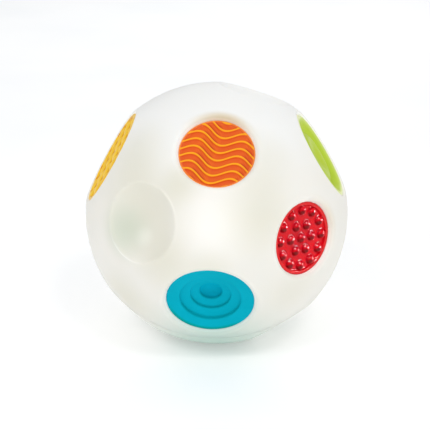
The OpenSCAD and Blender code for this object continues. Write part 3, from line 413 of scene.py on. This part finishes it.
# Spacing of the pillows, radius of the ball that each is a cap of, depth of the floor, and the rim's width
PILLOW_PITCH, PILLOW_BALL, PILLOW_FLOOR, PILLOW_RIM = 10.2 * MM, 13 * MM, 1.3 * MM, 1.6 * MM
# Angle of the rows, place of the first pillow, and rows on each side of it
PILLOW_SPIN = math.radians(105.8)
PILLOW_SHIFT = np.array([1.9, 3.2]) * MM
PILLOW_ROWS = 3


def pillow_places():
    """Honeycomb of middles, its rows turned by the spin and its first middle moved by the shift."""
    turns = PILLOW_SPIN + np.radians([0, 60])
    rows = PILLOW_PITCH * np.stack([np.cos(turns), np.sin(turns)], -1)
    steps = np.arange(-PILLOW_ROWS, PILLOW_ROWS + 1)
    i, j = np.meshgrid(steps, steps)
    kept = np.abs(i + j) <= PILLOW_ROWS
    return np.stack([i[kept], j[kept]], -1) @ rows + PILLOW_SHIFT


def pillow_top(x, y):
    """Cap of a large ball round the nearest pillow's middle."""
    return np.sqrt(np.clip(PILLOW_BALL**2 - nearest(x, y, pillow_places()) ** 2, 0, None)) - PILLOW_BALL


def yellow_height(x, y, rho):
    """The higher of the pillows and the floor, raised to the rim at the edge."""
    r = YELLOW["r"]
    field = np.maximum(pillow_top(x, y), -PILLOW_FLOOR)
    rim = smoothstep(r - PILLOW_RIM - 0.5 * MM, r - PILLOW_RIM + 0.1 * MM, np.hypot(x, y))
    return field * (1 - rim) * on_face(rho, r, 0.3 * MM, 0.2 * MM)


def yellow_disc():
    """Flat disc with the pillows; its marks are the hollows between them and the rim."""
    r = YELLOW["r"]
    marks = {
        "hollow": lambda x, y, z: 1 - smoothstep(-1.15 * MM, -0.45 * MM, pillow_top(x, y)),
        "rim": lambda x, y, z: smoothstep(r - PILLOW_RIM - 0.3 * MM, r - PILLOW_RIM + 0.3 * MM, np.hypot(x, y)),
    }
    profile = plain_profile(YELLOW, 0.15 * MM, 0.25 * MM, 0.7 * MM)
    return disc_piece(
        "yellow_pillows", YELLOW, profile, yellow_height, "yellow_disc", "yellow_pillow_disc", marks, SIDES_LOW
    )


# Shell halves: the solids' own surfaces with true normals

# How far a point may lie off the true surface, and how far its normal may lean, as a cosine, on balls and on lips
NORMAL_REACH, BALL_LEAN, LIP_LEAN = 0.02 * MM, 0.86, 0.7
# Points closer than this are one, and an edge that bends more than this stays sharp
MERGE_REACH, CREASE = 0.001 * MM, math.radians(32)
# Least length to divide by
TINY = 1e-9


def dish_ball(r):
    """Radius of the ball that hollows out a dish of edge radius r."""
    return (r**2 + DISH_DEPTH**2) / (2 * DISH_DEPTH)


def lip_circles():
    """Place, lip radius, and the circle (radius, height) round which the lip of each pocket and dish bends.

    The lip touches the ball from inside, so its circle lies BALL_R - lip from the ball's centre."""
    out = []
    for disc in DISCS:
        lip = disc["lip"]
        x = disc["r"] + DISC_GAP + lip
        out.append((disc["at"], lip, x, math.sqrt((BALL_R - lip) ** 2 - x**2)))
    for at, r in DISHES.values():
        big = dish_ball(r)
        far = math.sqrt(BALL_R**2 - r**2) + big - DISH_DEPTH
        z = (far**2 + (BALL_R - DISH_LIP) ** 2 - (big + DISH_LIP) ** 2) / (2 * far)
        out.append((at, DISH_LIP, math.sqrt((BALL_R - DISH_LIP) ** 2 - z**2), z))
    return out


def true_normals(points, normals):
    """The normals, made exact where a point lies on the ball, in a dish or on a lip."""
    normals = normals.copy()
    balls = [(CENTRE, BALL_R, 1)]
    for at, r in DISHES.values():
        balls.append((put([0, 0, dish_ball(r) - DISH_DEPTH], at, r), dish_ball(r), -1))
    for middle, radius, way in balls:
        away = points - middle
        far = np.linalg.norm(away, axis=1)
        unit = way * away / far[:, None]
        on = (np.abs(far - radius) < NORMAL_REACH) & (np.sum(unit * normals, 1) > BALL_LEAN)
        normals[on] = unit[on]
    for at, lip, x, z in lip_circles():
        out = axes_of(at)[2]
        local = points - CENTRE
        flat = local - np.outer(local @ out, out)
        rho = np.maximum(np.linalg.norm(flat, axis=1), MM)
        away = local - flat / rho[:, None] * x - out * z
        far = np.linalg.norm(away, axis=1)
        unit = away / np.maximum(far, TINY)[:, None]
        on = (np.abs(far - lip) < NORMAL_REACH) & (np.sum(unit * normals, 1) > LIP_LEAN)
        normals[on] = unit[on]
    return normals


def shell_half(node, name):
    """Copy of a shell solid with its points merged and true normals on its outside."""
    mesh = frame["nodes"][node].data.copy()
    mesh.name = name
    piece = bpy.data.objects.new(name, mesh)
    bpy.context.scene.collection.objects.link(piece)
    work = bmesh.new()
    work.from_mesh(mesh)
    bmesh.ops.remove_doubles(work, verts=work.verts, dist=MERGE_REACH)
    work.to_mesh(mesh)
    work.free()
    mesh.polygons.foreach_set("use_smooth", [True] * len(mesh.polygons))
    mesh.set_sharp_from_angle(angle=CREASE)
    points = np.zeros(len(mesh.vertices) * 3)
    mesh.vertices.foreach_get("co", points)
    corner = np.zeros(len(mesh.loops), int)
    mesh.loops.foreach_get("vertex_index", corner)
    normals = np.zeros(len(mesh.loops) * 3)
    mesh.corner_normals.foreach_get("vector", normals)
    normals = true_normals(points.reshape(-1, 3)[corner], normals.reshape(-1, 3))
    mesh.normals_split_custom_set(normals.tolist())
    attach(piece, "ball")
    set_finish(piece, "shell")
    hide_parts(node)
    return piece


# Materials


def add(tree, kind, values=None, **props):
    """Adds a node; each value is a number for a socket or another node's output to link to it."""
    made = tree.nodes.new(kind)
    for key, value in props.items():
        setattr(made, key, value)
    for key, value in (values or {}).items():
        socket = made.inputs[key]
        if isinstance(value, bpy.types.NodeSocket):
            tree.links.new(value, socket)
        else:
            socket.default_value = value
    return made


def times(tree, a, b):
    """Product of two values."""
    return add(tree, "ShaderNodeMath", {0: a, 1: b}, operation="MULTIPLY").outputs[0]


def plus(tree, a, b):
    """Sum of two values."""
    return add(tree, "ShaderNodeMath", {0: a, 1: b}, operation="ADD").outputs[0]


def ramp(tree, value, start, end, at_start=0.0, at_end=1.0):
    """Smooth step of a value between its start and its end."""
    span = {"Value": value, "From Min": start, "From Max": end, "To Min": at_start, "To Max": at_end}
    return add(tree, "ShaderNodeMapRange", span, interpolation_type="SMOOTHSTEP").outputs[0]


def blend(tree, share, first, second, **props):
    """Mix of two colours."""
    values = {"Factor": share, "A": first, "B": second}
    return add(tree, "ShaderNodeMix", values, data_type="RGBA", **props).outputs["Result"]


def distance(tree, place, point):
    """Distance of the shaded place from a point."""
    return add(tree, "ShaderNodeVectorMath", {0: place, 1: tuple(point)}, operation="DISTANCE").outputs["Value"]


def linear(r, g, b):
    """Linear colour from a display colour of 0 to 255."""
    c = [(v / 255) / 12.92 if v / 255 <= 0.04045 else ((v / 255 + 0.055) / 1.055) ** 2.4 for v in (r, g, b)]
    return (*c, 1.0)


def moulded_group():
    """Moulded plastic: soft patches between two colours, an uneven sheen and a fine grain."""
    group = bpy.data.node_groups.new("moulded surface", "ShaderNodeTree")
    for name, way, kind in (
        ("Vector", "INPUT", "NodeSocketVector"),
        ("Color", "INPUT", "NodeSocketColor"),
        ("Patch Color", "INPUT", "NodeSocketColor"),
        ("Patch Scale", "INPUT", "NodeSocketFloat"),
        ("Grain Scale", "INPUT", "NodeSocketFloat"),
        ("Roughness", "INPUT", "NodeSocketFloat"),
        ("Roughness Spread", "INPUT", "NodeSocketFloat"),
        ("Color", "OUTPUT", "NodeSocketColor"),
        ("Roughness", "OUTPUT", "NodeSocketFloat"),
        ("Height", "OUTPUT", "NodeSocketFloat"),
    ):
        group.interface.new_socket(name=name, in_out=way, socket_type=kind)
    given = add(group, "NodeGroupInput").outputs
    patch = {"Vector": given["Vector"], "Scale": given["Patch Scale"], "Detail": 3.0, "Roughness": 0.5}
    grain = {"Vector": given["Vector"], "Scale": given["Grain Scale"], "Detail": 2.0, "Roughness": 0.6}
    patch, grain = (add(group, "ShaderNodeTexNoise", noise).outputs["Fac"] for noise in (patch, grain))
    soft = ramp(group, patch, 0.3, 0.7)
    centred = add(group, "ShaderNodeMath", {0: soft, 1: 0.5}, operation="SUBTRACT").outputs[0]
    rough = plus(group, times(group, centred, given["Roughness Spread"]), given["Roughness"])
    colour = blend(group, soft, given["Color"], given["Patch Color"])
    add(group, "NodeGroupOutput", {"Color": colour, "Roughness": rough, "Height": grain})
    return group


MOULDED = moulded_group()


def moulded(name, colour, patch, rough=0.4, spread=0.1, patch_scale=40, grain_scale=1500, grain=0.02,
            depth=0.1 * MM, **shader_values):
    """Material, tree and shader whose colour, roughness and bump come from the moulded surface group."""
    made = bpy.data.materials.new(name)
    made.use_nodes = True
    tree = made.node_tree
    tree.nodes.clear()
    skin = add(tree, "ShaderNodeGroup", node_tree=MOULDED)
    tree.links.new(add(tree, "ShaderNodeTexCoord").outputs["Object"], skin.inputs["Vector"])
    for key, value in (("Color", colour), ("Patch Color", patch), ("Patch Scale", patch_scale),
                       ("Grain Scale", grain_scale), ("Roughness", rough), ("Roughness Spread", spread)):
        skin.inputs[key].default_value = value
    bump = add(tree, "ShaderNodeBump", {"Height": skin.outputs["Height"], "Strength": grain, "Distance": depth})
    values = {"Base Color": skin.outputs["Color"], "Roughness": skin.outputs["Roughness"], "Normal": bump.outputs[0]}
    values.update((key.replace("_", " "), value) for key, value in shader_values.items())
    shader = add(tree, "ShaderNodeBsdfPrincipled", values)
    add(tree, "ShaderNodeOutputMaterial", {"Surface": shader.outputs[0]})
    return made, tree, shader


def tint(tree, shader, mask, colour, amount=1.0):
    """Mixes a colour over what feeds Base Color, where the mask is high."""
    before = shader.inputs["Base Color"].links[0].from_socket
    tree.links.new(blend(tree, times(tree, mask, amount), before, colour), shader.inputs["Base Color"])


def mark(tree, name, start=0.0, end=1.0):
    """Mask from a mesh attribute, rising from one of its values to another."""
    return ramp(tree, add(tree, "ShaderNodeAttribute", attribute_name=name).outputs["Fac"], start, end)


# Painted light from within, as emission on the shell, for the core's glow and, in the left dish, a painted
# highlight: place, reach, strength, and depth under the ball's surface where it lies deeper
GLOWS = (
    ((-0.7, 15.4), 27 * MM, 0.155),
    ((-34, 6.5), 7.5 * MM, 0.14, 4.5 * MM),
    ((140, 5), 26 * MM, 0.2),
    ((-152, -24), 26 * MM, 0.2),
)
GLOW_COLOUR, GLOW_STRENGTH = linear(249, 249, 255), 0.7
# Painted highlights, as emission, along a dish's lip: dish, place, reach and strength
LIP_HIGHLIGHTS = (("left", (-42, -3), 16 * MM, 0.18), ("left", (-20, 24), 11 * MM, 0.12))
# Distance of such a line from the dish's edge circle, and half its width
ARC_OUT, ARC_HALF = 0.7 * MM, 0.8 * MM
# Painted light, as emission on the shell along the discs' pockets, lifting their shade: strength, and distances from
# the disc's edge
RIM_GLOW, RIM_GLOW_IN, RIM_GLOW_OUT = 0.16, 0.4 * MM, 1.3 * MM
# Shade where the core hides the light: place, reach and strength; warm, greenish, and underneath
SHADES = (
    ((-34, 17), 36 * MM, 0.75),
    ((-48, 40), 26 * MM, 0.5),
    ((-46, -26), 24 * MM, 0.6),
    ((-20, -3), 24 * MM, 0.55),
    ((-16, 31), 15 * MM, 0.5),
    ((17, 18), 28 * MM, 0.6),
    ((24, 40), 24 * MM, 0.4),
    ((33, -17), 24 * MM, 0.35),
    ((-2, -2), 14 * MM, 0.4),
)
GREEN_SHADES = (((-42, 8), 19 * MM, 0.85),)
UNDER_SHADE = (((-2, -49), 46 * MM, 0.7),)
# Shade beside a disc: disc, place, reach and strength; and its distances from the disc's edge
HALOS = ((ORANGE, (5, 60), 26 * MM, 0.85), (RED, (54, 10), 22 * MM, 0.35))
HALO_IN, HALO_OUT = 1 * MM, 6 * MM


def spots(tree, place, table):
    """Sum of round soft spots on the ball or some depth under it, each full in its middle and 0 at its reach."""
    total = None
    for at, reach, strength, *depth in table:
        spot = CENTRE + axes_of(at)[2] * (BALL_R - sum(depth))
        near = ramp(tree, distance(tree, place, spot), 0.0, reach, strength, 0.0)
        total = near if total is None else plus(tree, total, near)
    return total


def near_disc(tree, place, disc, inner, outer):
    """1 up to a distance inner outside a disc's edge, 0 from outer on."""
    far = distance(tree, place, put([0, 0, 0], disc["at"], disc["r"], disc["sink"]))
    return ramp(tree, far, disc["r"] + inner, disc["r"] + outer, 1.0, 0.0)


def lip_highlight(tree, place, dish, at, reach, strength):
    """Painted highlight: a thin line along a dish's lip, near a place on the ball."""
    middle, r = DISHES[dish]
    far = distance(tree, place, put([0, 0, 0], middle, r))
    off = add(tree, "ShaderNodeMath", {0: far, 1: r + ARC_OUT}, operation="SUBTRACT").outputs[0]
    side = add(tree, "ShaderNodeMath", {0: off}, operation="ABSOLUTE").outputs[0]
    return times(tree, ramp(tree, side, 0.0, ARC_HALF, 1.0, 0.0), spots(tree, place, ((at, reach, strength),)))


def shell_material():
    """Milky plastic with painted light and shade: it glows from within near the core's light, with painted
    highlights on a dish's lip and painted light along the pockets, and it has painted shade elsewhere, a painted
    greener shade low down and a painted lighter top.
    """
    made, tree, shader = moulded(
        "milky shell", linear(243, 239, 231), linear(238, 235, 226), rough=0.5, spread=0.08, patch_scale=14,
        grain=0.01, Subsurface_Weight=0.35, Subsurface_Scale=4 * MM, Subsurface_Radius=(1.0, 0.9, 0.8),
        Specular_IOR_Level=0.15)
    place = add(tree, "ShaderNodeTexCoord").outputs["Object"]
    height = add(tree, "ShaderNodeSeparateXYZ", {0: place}).outputs["Z"]
    # Painted shade: greener and darker low down on the shell and under its front
    tint(tree, shader, ramp(tree, height, 0.0, 22 * MM, 0.5, 0.0), linear(176, 206, 194))
    tint(tree, shader, spots(tree, place, UNDER_SHADE), linear(170, 202, 190))
    # Painted light: the top of the shell lighter
    tint(tree, shader, ramp(tree, height, 96 * MM, 124 * MM), linear(250, 249, 246), 0.8)
    tint(tree, shader, spots(tree, place, SHADES), linear(222, 219, 201))
    tint(tree, shader, spots(tree, place, GREEN_SHADES), linear(204, 212, 194))
    for disc, *spot in HALOS:
        ring = near_disc(tree, place, disc, HALO_IN, HALO_OUT)
        tint(tree, shader, times(tree, ring, spots(tree, place, (spot,))), linear(205, 186, 148))
    total = spots(tree, place, GLOWS)
    # Painted light along each disc's pocket
    for disc in DISCS:
        ring = near_disc(tree, place, disc, RIM_GLOW_IN, RIM_GLOW_OUT)
        total = plus(tree, total, times(tree, ring, RIM_GLOW))
    # Painted highlights along the left dish's lip
    for arc in LIP_HIGHLIGHTS:
        total = plus(tree, total, lip_highlight(tree, place, *arc))
    grey = add(tree, "ShaderNodeCombineColor", {0: total, 1: total, 2: total}).outputs[0]
    glow = blend(tree, 1.0, GLOW_COLOUR, grey, blend_type="MULTIPLY")
    tree.links.new(glow, shader.inputs["Emission Color"])
    shader.inputs["Emission Strength"].default_value = GLOW_STRENGTH
    return made


# Distance from one line of the hatch to the next
HATCH_PITCH = 0.75 * MM


def orange_material():
    """Orange with painted light and shade: thin yellow ridge tops painted as light caught by the crests, painted
    shade above them where they fall and in the valleys of the flat stretches, a fine hatch in the valleys, paler
    toward the edge, and a painted bright line along the very edge.

    The hatch is (1 + sin(2 pi along / pitch)) / 2."""
    made, tree, shader = moulded("orange plastic", linear(244, 118, 26), linear(236, 104, 32), rough=0.42,
                                 patch_scale=60, Specular_IOR_Level=0.16)
    falls, flat = mark(tree, "fall", 0.1, 0.8), mark(tree, "fall", 0.7, -0.1)
    high, far = mark(tree, "above", 0.06, 0.16), mark(tree, "above", 0.5, 0.3)
    # Painted shade above the ridge lines where they fall
    tint(tree, shader, times(tree, falls, times(tree, high, far)), linear(196, 62, 30), 0.75)
    # Painted shade in the valleys of the flat stretches, below and above the ridge lines
    tint(tree, shader, times(tree, mark(tree, "above", -0.06, -0.2), flat), linear(220, 82, 36), 0.6)
    tint(tree, shader, times(tree, mark(tree, "above", 0.08, 0.3), flat), linear(224, 86, 36), 0.5)
    along = add(tree, "ShaderNodeAttribute", attribute_name="along").outputs["Fac"]
    sine = add(tree, "ShaderNodeMath", {0: times(tree, along, 2 * math.pi / HATCH_PITCH)}, operation="SINE")
    hatch = plus(tree, times(tree, sine.outputs[0], 0.5), 0.5)
    tint(tree, shader, times(tree, hatch, falls), linear(206, 70, 34), 0.6)
    tint(tree, shader, mark(tree, "out", 0.9, 0.97), linear(240, 122, 60), 0.7)
    # Painted light: the ridge tops lit yellow
    tint(tree, shader, mark(tree, "ridge", 0.6, 1.0), linear(255, 178, 26), 0.9)
    # Painted light along the very edge
    tint(tree, shader, mark(tree, "out", 0.98, 1.0), linear(255, 176, 60), 0.5)
    return made


def blue_material():
    """Matt blue, with painted shade on the steep walls and along the lower edge, and painted light that makes it a
    little lighter down in the pit.
    """
    made, tree, shader = moulded("blue plastic", linear(0, 176, 200), linear(0, 170, 192), rough=0.6,
                                 patch_scale=50, grain=0.03, Specular_IOR_Level=0.03)
    # Painted shade on the steep walls, most on their lower sides
    tint(tree, shader, mark(tree, "wall"), linear(0, 142, 146), 0.5)
    # Painted light: a little lighter down in the pit
    tint(tree, shader, mark(tree, "pit_light"), linear(0, 190, 216), 0.7)
    # Painted shade along the lower edge
    tint(tree, shader, mark(tree, "brim_shade"), linear(0, 150, 136), 0.75)
    return made


def red_material():
    """Glossy red, with painted shade on the lower side of the bumps and at their feet, paler at the rim."""
    made, tree, shader = moulded("red plastic", linear(222, 6, 24), linear(208, 4, 24), rough=0.12,
                                 spread=0.03, patch_scale=60, Specular_IOR_Level=0.16)
    # Painted shade round the bumps' feet, inside the rim
    feet_shade = times(tree, mark(tree, "near", 0.8, 1.0), mark(tree, "near", 1.45, 1.05))
    tint(tree, shader, times(tree, feet_shade, mark(tree, "rim", 1.0, 0.0)), linear(172, 10, 34), 0.5)
    # Painted shade on the lower left side of each bump
    tint(tree, shader, mark(tree, "low"), linear(112, 8, 12), 0.9)
    tint(tree, shader, mark(tree, "rim"), linear(214, 46, 44), 0.6)
    tint(tree, shader, mark(tree, "edge"), linear(170, 34, 34), 0.6)
    return made


def green_material():
    """Glossy yellow-green, paler where the edge lets light through."""
    made, tree, shader = moulded("green plastic", linear(193, 214, 66), linear(185, 208, 64), rough=0.36,
                                 spread=0.06, Specular_IOR_Level=0.08, Subsurface_Weight=0.2,
                                 Subsurface_Scale=3 * MM, Subsurface_Radius=(0.8, 1.0, 0.5))
    tint(tree, shader, mark(tree, "edge"), linear(236, 240, 176), 0.7)
    tint(tree, shader, mark(tree, "tip"), linear(240, 243, 196), 0.8)
    return made


def yellow_material():
    """Yellow with painted shade, orange-brown, in the hollows between the pillows."""
    made, tree, shader = moulded("yellow plastic", linear(255, 208, 44), linear(252, 200, 38),
                                 patch_scale=50, Specular_IOR_Level=0.14)
    # Painted shade in the hollows between the pillows
    tint(tree, shader, mark(tree, "hollow"), linear(218, 138, 38), 0.7)
    tint(tree, shader, mark(tree, "rim"), linear(252, 216, 110), 0.3)
    return made


def metal(name, colour, dark, rough):
    """Plated or polished metal with fine marks."""
    return moulded(name, colour, dark, rough=rough, spread=0.15, patch_scale=300, grain_scale=4000, grain=0.05,
                   Metallic=1.0)[0]


# Pieces

pieces = {
    "orange": orange_disc(),
    "blue": blue_disc(),
    "green": green_disc(),
    "red": red_disc(),
    "yellow": yellow_disc(),
    "front": shell_half("front_shell", "shell_front_half"),
    "rear": shell_half("rear_shell", "shell_rear_half"),
}

# Material of each slot in the record
finishes = {
    "shell": shell_material(),
    "orange_disc": orange_material(),
    "blue_disc": blue_material(),
    "red_disc": red_material(),
    "green_disc": green_material(),
    "yellow_disc": yellow_material(),
    "white_plastic": moulded("white plastic", linear(232, 230, 224), linear(222, 221, 215), rough=0.45)[0],
    "black_plastic": moulded("black plastic", linear(42, 42, 44), linear(34, 34, 36), rough=0.5, patch_scale=300,
                             grain=0.1)[0],
    "zinc_screw": metal("zinc plating", linear(196, 198, 202), linear(168, 170, 176), 0.32),
    "spring_steel": metal("nickel plating", linear(204, 202, 198), linear(180, 178, 174), 0.26),
    "cell_wrap": moulded("cell sleeve", linear(84, 90, 98), linear(76, 82, 90), rough=0.3, Metallic=0.4)[0],
    "board": moulded("solder mask", linear(34, 104, 62), linear(28, 92, 54), rough=0.3, patch_scale=400)[0],
    "lamp": moulded("lamp lens", linear(255, 250, 232), linear(250, 244, 220), rough=0.2)[0],
    "dome": moulded("frosted dome", linear(242, 240, 234), linear(236, 234, 226), rough=0.6,
                    Subsurface_Weight=0.4, Subsurface_Scale=3 * MM)[0],
    "brass_ball": metal("polished brass", linear(214, 180, 96), linear(196, 160, 78), 0.18),
    "black_metal": moulded("black basket", linear(44, 44, 47), linear(36, 36, 38), rough=0.4, Metallic=0.3)[0],
    "cone_paper": moulded("cone paper", linear(48, 47, 50), linear(36, 35, 38), rough=0.85, patch_scale=900,
                          grain_scale=2500, grain=0.4, depth=0.3 * MM)[0],
    "red_wire": moulded("red insulation", linear(178, 34, 28), linear(164, 28, 24), rough=0.4)[0],
    "black_wire": moulded("black insulation", linear(30, 30, 31), linear(24, 24, 25), rough=0.4)[0],
    "seal_rubber": moulded("seal rubber", linear(58, 58, 60), linear(48, 48, 50), rough=0.8, grain=0.2)[0],
}

for piece in pieces.values():
    piece.data.materials.clear()
    piece.data.materials.append(finishes[piece["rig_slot"]])
for part in frame["record"]["subparts"]:
    for holder in frame["nodes"][part["node"]].material_slots:
        holder.material = finishes[part["material_slot"]]


# Stage, lights and camera

# Half the floor's side in metres, and points along a side
FLOOR_HALF, FLOOR_POINTS = 6.0, 24


def floor_sheet(half, count):
    """Flat square grid at z = 0."""
    line = np.linspace(-half, half, count)
    x, y = np.meshgrid(line, line, indexing="ij")
    points = np.stack([x, y, 0 * x], -1).reshape(-1, 3)
    i, j = np.meshgrid(np.arange(count - 1), np.arange(count - 1), indexing="ij")
    a = (i * count + j).ravel()
    mesh = bpy.data.meshes.new("floor")
    mesh.from_pydata(points.tolist(), [], np.stack([a, a + count, a + count + 1, a + 1], -1).tolist())
    made = bpy.data.objects.new("floor", mesh)
    bpy.context.scene.collection.objects.link(made)
    paint, _, shader = moulded("pale floor", linear(246, 246, 246), linear(240, 241, 242), rough=0.9,
                               patch_scale=6, grain=0.0)
    shader.inputs["Emission Color"].default_value = (1, 1, 1, 1)
    shader.inputs["Emission Strength"].default_value = 0.2
    mesh.materials.append(paint)


def lamp(name, place, size, power, colour=(1, 1, 1)):
    """Square area light aimed at the ball's middle."""
    data = bpy.data.lights.new(name, "AREA")
    data.size, data.energy, data.color = size, power, colour
    made = bpy.data.objects.new(name, data)
    made.location = place
    made.rotation_euler = (Vector(CENTRE) - Vector(place)).to_track_quat("-Z", "Y").to_euler()
    bpy.context.scene.collection.objects.link(made)
    return made


floor_sheet(FLOOR_HALF, FLOOR_POINTS)
lamp("key left", (-0.45, -0.75, 0.95), 0.28, 2.2)
lamp("key right", (0.35, -0.65, 1.05), 0.24, 1.9)
lamp("fill", (0.9, -0.9, 0.35), 0.8, 1.2, (1.0, 0.99, 0.97))
lamp("back", (0.2, 1.1, 0.7), 0.9, 1.6)
# Two lamps that show only as glints on the red bumps
GLINT_SIZE, GLINT_POWER = 0.5, 60
glossy = bpy.data.collections.new("glossy disc")
glossy.objects.link(pieces["red"])
for name, place in (("glint top", (0, -0.36, 1.2)), ("glint right", (1.15, -0.06, 0.35))):
    glint = lamp(name, place, GLINT_SIZE, GLINT_POWER)
    glint.visible_diffuse = False
    glint.light_linking.receiver_collection = glossy

# Strength of the studio's soft light as it lights the scene, as gloss reflects it and as the camera sees it
SKY_LIGHT, SKY_GLOSS, SKY_SEEN = 0.74, 0.2, 0.88
world = bpy.data.worlds.new("studio")
bpy.context.scene.world = world
world.use_nodes = True
studio = world.node_tree
rays = add(studio, "ShaderNodeLightPath").outputs
lit = add(studio, "ShaderNodeMapRange", {"Value": rays["Is Glossy Ray"], "To Min": SKY_LIGHT, "To Max": SKY_GLOSS})
seen_sky = add(studio, "ShaderNodeMapRange", {"Value": rays["Is Camera Ray"], "To Min": lit.outputs[0],
                                              "To Max": SKY_SEEN})
sky = studio.nodes["Background"]
sky.inputs["Color"].default_value = (0.97, 0.985, 1.0, 1)
studio.links.new(seen_sky.outputs[0], sky.inputs["Strength"])
bpy.context.scene.view_settings.view_transform = "Standard"

# Focal length and picture width in pixels, and where the ball's middle lies from the picture's middle
FOCAL, WIDTH, SHIFT_RIGHT, SHIFT_UP = 1039.8, 430, 1.65, 2.4
SENSOR = 36
CAMERA_FAR, CAMERA_ELEVATION = 8 * BALL_R, math.radians(20)
PIXEL = CAMERA_FAR / FOCAL
right = Vector((1, 0, 0))
up = Vector((0, math.sin(CAMERA_ELEVATION), math.cos(CAMERA_ELEVATION)))
back = Vector((0, -math.cos(CAMERA_ELEVATION), math.sin(CAMERA_ELEVATION)))
camera = bpy.data.objects.new("camera", bpy.data.cameras.new("camera"))
camera.data.sensor_width, camera.data.lens = SENSOR, FOCAL / WIDTH * SENSOR
camera.data.clip_start, camera.data.clip_end = 0.01, 50
camera.location = Vector(CENTRE) + back * CAMERA_FAR - (right * SHIFT_RIGHT + up * SHIFT_UP) * PIXEL
camera.rotation_euler = (-back).to_track_quat("-Z", "Y").to_euler()
bpy.context.scene.collection.objects.link(camera)
bpy.context.scene.camera = camera
